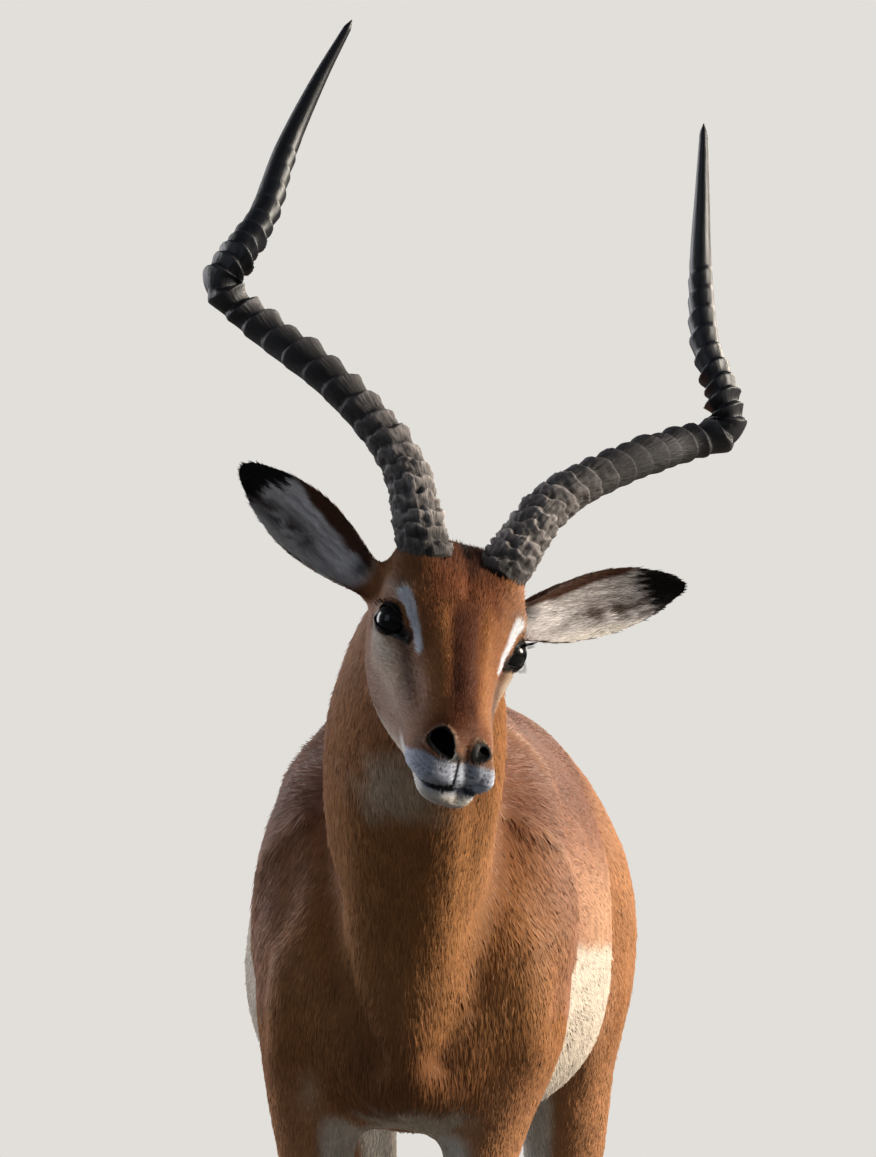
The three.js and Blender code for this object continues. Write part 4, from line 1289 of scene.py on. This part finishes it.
def horn_relief(share, turn, ragged):
    """Height of the rings over the horn's core, in millimetres, and a mask that is high on the ring crests,
    for the painted highlights there.
    """
    starts = [FIRST_RING]
    while starts[-1] < LAST_RING:
        starts.append(starts[-1] + ring_pitch(starts[-1]))
    starts = np.array(starts)
    loose = ease(share, 0.3, 0.0)
    shifted = share + 0.007 * np.sin(turn - 0.6) + ragged * (0.0004 + 0.003 * loose)
    index = np.clip(np.searchsorted(starts, shifted) - 1, 0, len(starts) - 2)
    part = np.clip((shifted - starts[index]) / (starts[index + 1] - starts[index]), 0, 1)
    rise = np.where(part < 0.8, (part / 0.8) ** 1.5, np.clip((1 - part) / 0.2, 0, 1) ** 0.8)
    uneven = 1 + 0.2 * np.sin(2.7 * index + 1)
    fade = ease(share, LAST_RING, LAST_RING - 0.24)
    size = (0.55 + 0.45 * bump(share - 0.36, 0.2)) * (0.25 + 0.75 * fade)
    size *= ease(share, LAST_RING, LAST_RING - 0.04)
    round_all = 0.05 + 0.5 * bump(share - 0.56, 0.09) + 0.3 * loose
    facing = round_all + (1 - round_all) * (0.5 + 0.5 * np.cos(turn - 1.05)) ** 1.3
    size *= 1 + 0.5 * bump(share - 0.55, 0.06)
    rings = HORN_RING_HEIGHT * size * uneven * facing * rise
    return rings, rise * (0.45 + 0.55 * facing) * fade


def make_horn(name, material):
    side = SIDES[name]
    middle, length = centripetal(HORN_POINTS, HORN_STEPS)
    shares = np.linspace(0, 1, HORN_STEPS)
    if side < 0:
        middle[:, 0] -= 2.5 * bump(shares - 0.57, 0.07)
    tangent = unit(np.gradient(middle, axis=0))
    sink = np.linspace(-HORN_SINK, 0, 16, endpoint=False)
    middle = np.concatenate([middle[0] + sink[:, None] * tangent[0], middle])
    tangent = np.concatenate([np.repeat(tangent[:1], len(sink), 0), tangent])
    shares = np.concatenate([sink / length, shares])
    front = unit(np.array([0, -1, 0]) + tangent * tangent[:, 1:2])
    inner = np.cross(front, tangent)
    bpy.ops.mesh.primitive_grid_add(x_subdivisions=HORN_SIDES, y_subdivisions=len(shares) - 1, size=1)
    piece = bpy.context.active_object
    piece.name = f"horn_{name}_ringed"
    grid = read_points(piece)
    turn = (grid[:, 0] + 0.5) * 2 * math.pi
    row = np.round((grid[:, 1] + 0.5) * (len(shares) - 1)).astype(int)
    share = shares[row]
    wobble = sum(np.sin(round_it * turn + along * share + start) for round_it, along, start in RING_WOBBLE)
    rings, crest_highlight = horn_relief(share, turn, wobble)
    rough = ease(share, 0.34, 0.0)
    fibre = np.sin(17 * turn + 3 * np.sin(31 * share)) + 0.7 * np.sin(29 * turn + 2 * np.sin(57 * share) + 2)
    core = HORN_BASE_RADIUS * eased(HORN_TAPER, np.clip(share, 0, 1) * (len(HORN_TAPER) - 1))

    def around(forward, aside):
        """Places round the horn's middle line, at distances toward its front and its inner side."""
        forward, aside = (forward * np.cos(turn))[:, None], (aside * np.sin(turn))[:, None]
        return middle[row] + forward * front[row] + aside * inner[row]

    spot = around(core, core)
    chips = drift(spot * MM, 0.005, 5.0) + 0.6 * drift(spot * MM, 0.0024, 9.0)
    reach = core + rings + rough * (0.3 * fibre + 1.5 * chips) - 1.5 * ease(share, 0.75, 0.5)
    reach *= ease(share, 1.004, 0.985) * 0.9 + 0.1
    write_points(piece, from_head(around(1.06 * reach, 0.96 * reach) * (side, 1, 1)))
    piece.data.uv_layers[0].name = "along_horn"
    # Painted highlight on the ring crests and painted shade between them, in the base, middle and tip
    # colours.
    bark = tone(158, 150, 148) * (0.22 + 0.95 * crest_highlight[:, None]) * (1 + 0.35 * np.clip(chips, -1, 1))[:, None]
    dark = tone(44, 41, 44) * (0.35 + 1.9 * crest_highlight[:, None] ** 2)
    tip = np.tile(tone(22, 24, 31), (len(share), 1))
    colours = bark + ease(share, 0.03, 0.3)[:, None] * (dark - bark)
    colours += ease(share, 0.4, 0.62)[:, None] * (tip * (0.75 + 0.9 * crest_highlight[:, None]) - colours)
    colours *= (1 - 0.35 * rough * ease(fibre, 0.2, 1.4) * 0.8)[:, None]
    colours *= (0.45 + 0.55 * ease(share, -0.01, 0.03))[:, None]
    set_colours(piece, colours, "horn_colour")
    set_values(piece, "polish", ease(share, 0.2, 0.66))
    with editing(piece):
        bpy.ops.mesh.remove_doubles(threshold=0.00002)
        close_borders(bpy.ops.mesh.edge_face_add)
        bpy.ops.mesh.faces_shade_smooth()
    piece.data.materials.append(material)
    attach(piece, "root")
    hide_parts(f"horn_{name}")


# ---------------------------------------------------------------- eyes
CORNEA_BULGE, CORNEA_REACH = 1.3, 0.72  # millimetres, and radians from the gaze
LASHES = ((34, 1, 10.5), (14, -1, 5))  # number, up or down, and length of those on each lid
LASH_WIDTH, LASH_THICKNESS, LASH_CURL = 0.55, 0.4, 0.22


def make_eye(name, material):
    side = SIDES[name]
    bpy.ops.mesh.primitive_uv_sphere_add(segments=64, ring_count=40, radius=EYE_RADIUS)
    piece = bpy.context.active_object
    piece.name = f"eyeball_{name}"
    place = read_points(piece)
    flat = place[:, :2] / (2 * EYE_RADIUS) + 0.5
    off_axis = np.arccos(np.clip(place[:, 2] / EYE_RADIUS, -1, 1))
    place *= (1 + CORNEA_BULGE / EYE_RADIUS * ease(off_axis, CORNEA_REACH, 0.15))[:, None]
    turned = place @ [SLIT_ALONG, SLIT_UP, GAZE] + EYE_CENTRE
    write_points(piece, from_head(turned * (side, 1, 1)))
    chart = piece.data.uv_layers[0]
    chart.name = "iris_place"
    corner = read(piece.data.loops, "vertex_index", 1, np.int32)[:, 0]
    spots = flat[corner]
    spots[place[corner, 2] < 0] = (0.02, 0.02)
    chart.uv.foreach_set("vector", spots.astype(np.float32).ravel())
    with editing(piece):
        bpy.ops.mesh.normals_make_consistent(inside=False)
        bpy.ops.mesh.faces_shade_smooth()
    piece.data.materials.append(material)
    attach(piece, "root")
    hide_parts(f"eye_{name}")


def make_lashes(name, material):
    """Long dark lashes along the upper lid and a few short ones below."""
    side = SIDES[name]
    roots, lies, lengths = [], [], []
    for rows, height, longest in LASHES:
        along = np.linspace(-OPENING_BACK + 1.0, 12, rows) + dice.normal(0, 0.25, rows)
        edge = opening_edge(along)[height < 0] + height * 0.9
        out = np.sqrt(np.clip((EYE_RADIUS + LID_THICKNESS + 0.4) ** 2 - along**2 - edge**2, 30, None))
        roots.append(np.stack([along, edge, out], 1) @ [SLIT_ALONG, SLIT_UP, GAZE])
        fan = (along / OPENING_FRONT)[:, None] * SLIT_ALONG
        lies.append(unit(0.5 * fan + height * 0.55 * SLIT_UP + 0.95 * GAZE + dice.normal(0, 0.06, (rows, 3))))
        lengths.append(longest * (1 - 0.4 * np.abs(along / 17) ** 2) * dice.uniform(0.8, 1.1, rows))
    roots = from_head((np.concatenate(roots) + EYE_CENTRE) * (side, 1, 1))
    lies = np.concatenate(lies) * (side, 1, 1) @ HEAD_TURN.T
    lengths = np.concatenate(lengths)
    normals = np.tile(np.array([0, 0, -1.0]) @ HEAD_TURN.T, (len(roots), 1))
    normals = unit(normals - (normals * lies).sum(1)[:, None] * lies)
    same = np.ones(len(roots))
    sizes = np.stack([lengths, LASH_WIDTH * same, LASH_THICKNESS * same, LASH_CURL * lengths], 1) * MM
    colours = np.tile(BLACK, (len(roots), 1))
    order = np.arange(len(roots))
    centres = fill_square(np.stack([order, order % 2], 1))
    shape = locks(roots, normals, lies, sizes, colours, rings=4)
    add_tufts(f"lashes_{name}", shape, centres, material)


# ---------------------------------------------------------------- hooves
FLAT = 0.0005  # points this near the floor or the hoof's top belong to it
SOLE_CREASE, TOP_CREASE = 0.85, 0.6  # how sharp these edges stay when the hoof is rounded
HOOF_TAPER = 0.34
PASTERN_BAND = 0.012
DEWCLAW_GROWTH, DEWCLAW_INSET = 1.2, 0.0052


def pastern_middle(leg):
    """Middle of a leg across and along the floor, at the top of its hoof."""
    points = read_points(bpy.data.objects[leg])
    ring = points[np.abs(points[:, 2] - HOOF_TOP) < PASTERN_BAND]
    return (ring[:, :2].min(0) + ring[:, :2].max(0)) / 2


def make_hoof(node, material):
    """A hoof or dewclaw: its node rounded, with growth rings and its sole kept flat."""
    piece = flesh_copy(f"{node}_worn", [node], growth=0)
    mesh = piece.data
    with editing(piece):
        bpy.ops.mesh.tris_convert_to_quads()
    points = read_points(piece)
    creases = mesh.attributes.new("crease_edge", "FLOAT", "EDGE")
    on_sole = points[:, 2] < FLAT
    on_top = points[:, 2] > points[:, 2].max() - FLAT
    ends = read(mesh.edges, "vertices", 2, np.int32)
    sharp = np.where(on_sole[ends].all(1), SOLE_CREASE, np.where(on_top[ends].all(1), TOP_CREASE, 0))
    creases.data.foreach_set("value", sharp.astype(np.float32))
    apply_modifier(piece, "SUBSURF", levels=2, render_levels=2)
    points = read_points(piece)
    normals = read_normals(piece)
    rise = points[:, 2] / MM
    lines = 0.16 * np.sin(rise * 1.1 + 0.15 * (points[:, 1] / MM)) * ease(rise, 2, 8) * ease(rise, 38, 30)
    normals[:, 2] = 0
    points += (lines * MM)[:, None] * normals
    leg = next(name for name in LEGS if node.split("_", 1)[1].startswith(name))
    if node.startswith("hoof"):
        axis = pastern_middle(leg)
        taper = 1 - HOOF_TAPER * ease(points[:, 2], 0.1 * HOOF_TOP, 1.05 * HOOF_TOP)
        points[:, :2] = axis + (points[:, :2] - axis) * taper[:, None]
    else:
        middle = points.mean(0)
        points = middle + DEWCLAW_GROWTH * (points - middle) - (0, DEWCLAW_INSET, 0)
    if on_sole.any():
        points[points[:, 2] < 0.0006, 2] = 0
    write_points(piece, points)
    mesh.polygons.foreach_set("use_smooth", np.ones(len(mesh.polygons), bool))
    bpy.ops.object.shade_smooth_by_angle(angle=math.radians(50))
    mesh.materials.append(material)
    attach(piece, "root")
    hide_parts(node)


# ---------------------------------------------------------------- studio
LENS, SENSOR = 518.6, 36
CAMERA_PLACE = (0.76578, -13.22662, 0.62862)
CAMERA_TURN = (math.radians(91.5), 0, math.radians(3.5))


def add_camera():
    camera = bpy.data.objects.new("camera", bpy.data.cameras.new("camera"))
    camera.location = CAMERA_PLACE
    camera.rotation_euler = CAMERA_TURN
    camera.data.sensor_fit = "VERTICAL"
    camera.data.sensor_height = camera.data.sensor_width = SENSOR
    camera.data.lens = LENS
    camera.data.clip_end = 200
    bpy.context.scene.collection.objects.link(camera)
    bpy.context.scene.camera = camera


LIT_PLACE = (-0.03, -0.2, 0.8)


def add_light(name, place, size, power, colour):
    light = bpy.data.objects.new(name, bpy.data.lights.new(name, "AREA"))
    light.data.energy = power
    light.data.size = size
    light.data.color = colour
    light.location = place
    light.rotation_euler = (Vector(LIT_PLACE) - Vector(place)).to_track_quat("-Z", "Y").to_euler()
    bpy.context.scene.collection.objects.link(light)


AROUND = tone(208, 214, 224)  # the light from all round
AROUND_STRENGTH = 0.15
FLOOR_RADIUS = 48


def seen_directly(tree):
    """1 where the camera looks straight at a thing, 0 in its light on others."""
    return add_node(tree, "LightPath").outputs["Is Camera Ray"]


def add_studio():
    bpy.ops.mesh.primitive_circle_add(vertices=128, radius=FLOOR_RADIUS, fill_type="NGON")
    floor = bpy.context.active_object
    floor.name = "studio_floor"
    material, tree, shader = new_material("studio_floor")
    wire(tree, shader, {
        "Base Color": (*tone(96, 95, 93), 1), "Roughness": 0.8,
        "Emission Color": (*tone(204, 202, 198), 1), "Emission Strength": seen_directly(tree),
    })
    floor.data.materials.append(material)
    world = bpy.context.scene.world = bpy.data.worlds.new("studio")
    world.use_nodes = True
    tree = world.node_tree
    around = tree.nodes["Background"]
    wire(tree, around, {"Color": (*AROUND, 1), "Strength": AROUND_STRENGTH})
    backdrop = add_node(tree, "Background", {"Color": (*tone(226, 223, 218), 1)})
    mix = add_node(tree, "MixShader", {"Fac": seen_directly(tree), 1: around, 2: backdrop})
    wire(tree, tree.nodes["World Output"], {"Surface": mix})
    bpy.context.scene.view_settings.view_transform = "Standard"
    add_light("key", (3.7, -0.35, 2.0), 1.2, 255, (1.0, 0.91, 0.78))
    add_light("rim", (2.0, 2.6, 2.2), 1.2, 70, (1.0, 0.88, 0.74))
    add_light("fill", (-2.6, -3.4, 2.0), 2.6, 17, (0.78, 0.88, 1.0))
    add_light("back fill", (-3.3, 1.8, 1.8), 2.4, 85, (0.96, 0.96, 1.0))


# ---------------------------------------------------------------- putting it together
def build():
    add_camera()
    add_studio()
    skin, links, nodes, hole = make_skin()
    points = read_points(skin)
    normals = unit(read_normals(skin))
    colours = coat_colours(points, normals, nodes) * 0.9
    lay(colours, NOSE_BLACK * 0.5, ease(hole, 0.0, 0.04))
    set_colours(skin, colours)
    set_values(skin, "moist", bare_skin(points) & (hole < 0.05))
    skin.data.materials.append(skin_material())
    skin.data.polygons.foreach_set("use_smooth", np.ones(len(skin.data.polygons), bool))
    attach(skin, "root")
    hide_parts(*FLESH)
    lie = lie_of_coat(points, normals, nodes, links)
    sizes = tuft_sizes(points, nodes, links)
    hair = hair_material()
    plant_coat(skin, nodes, normals, lie, sizes, hole, hair)
    horn, eye, hoof = horn_material(), eye_material(), hoof_material()
    for name in SIDES:
        make_horn(name, horn)
        make_eye(name, eye)
        make_lashes(name, hair)
    for node in sorted(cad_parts):
        if node.startswith(("hoof", "dewclaw")):
            make_hoof(node, hoof)


build()
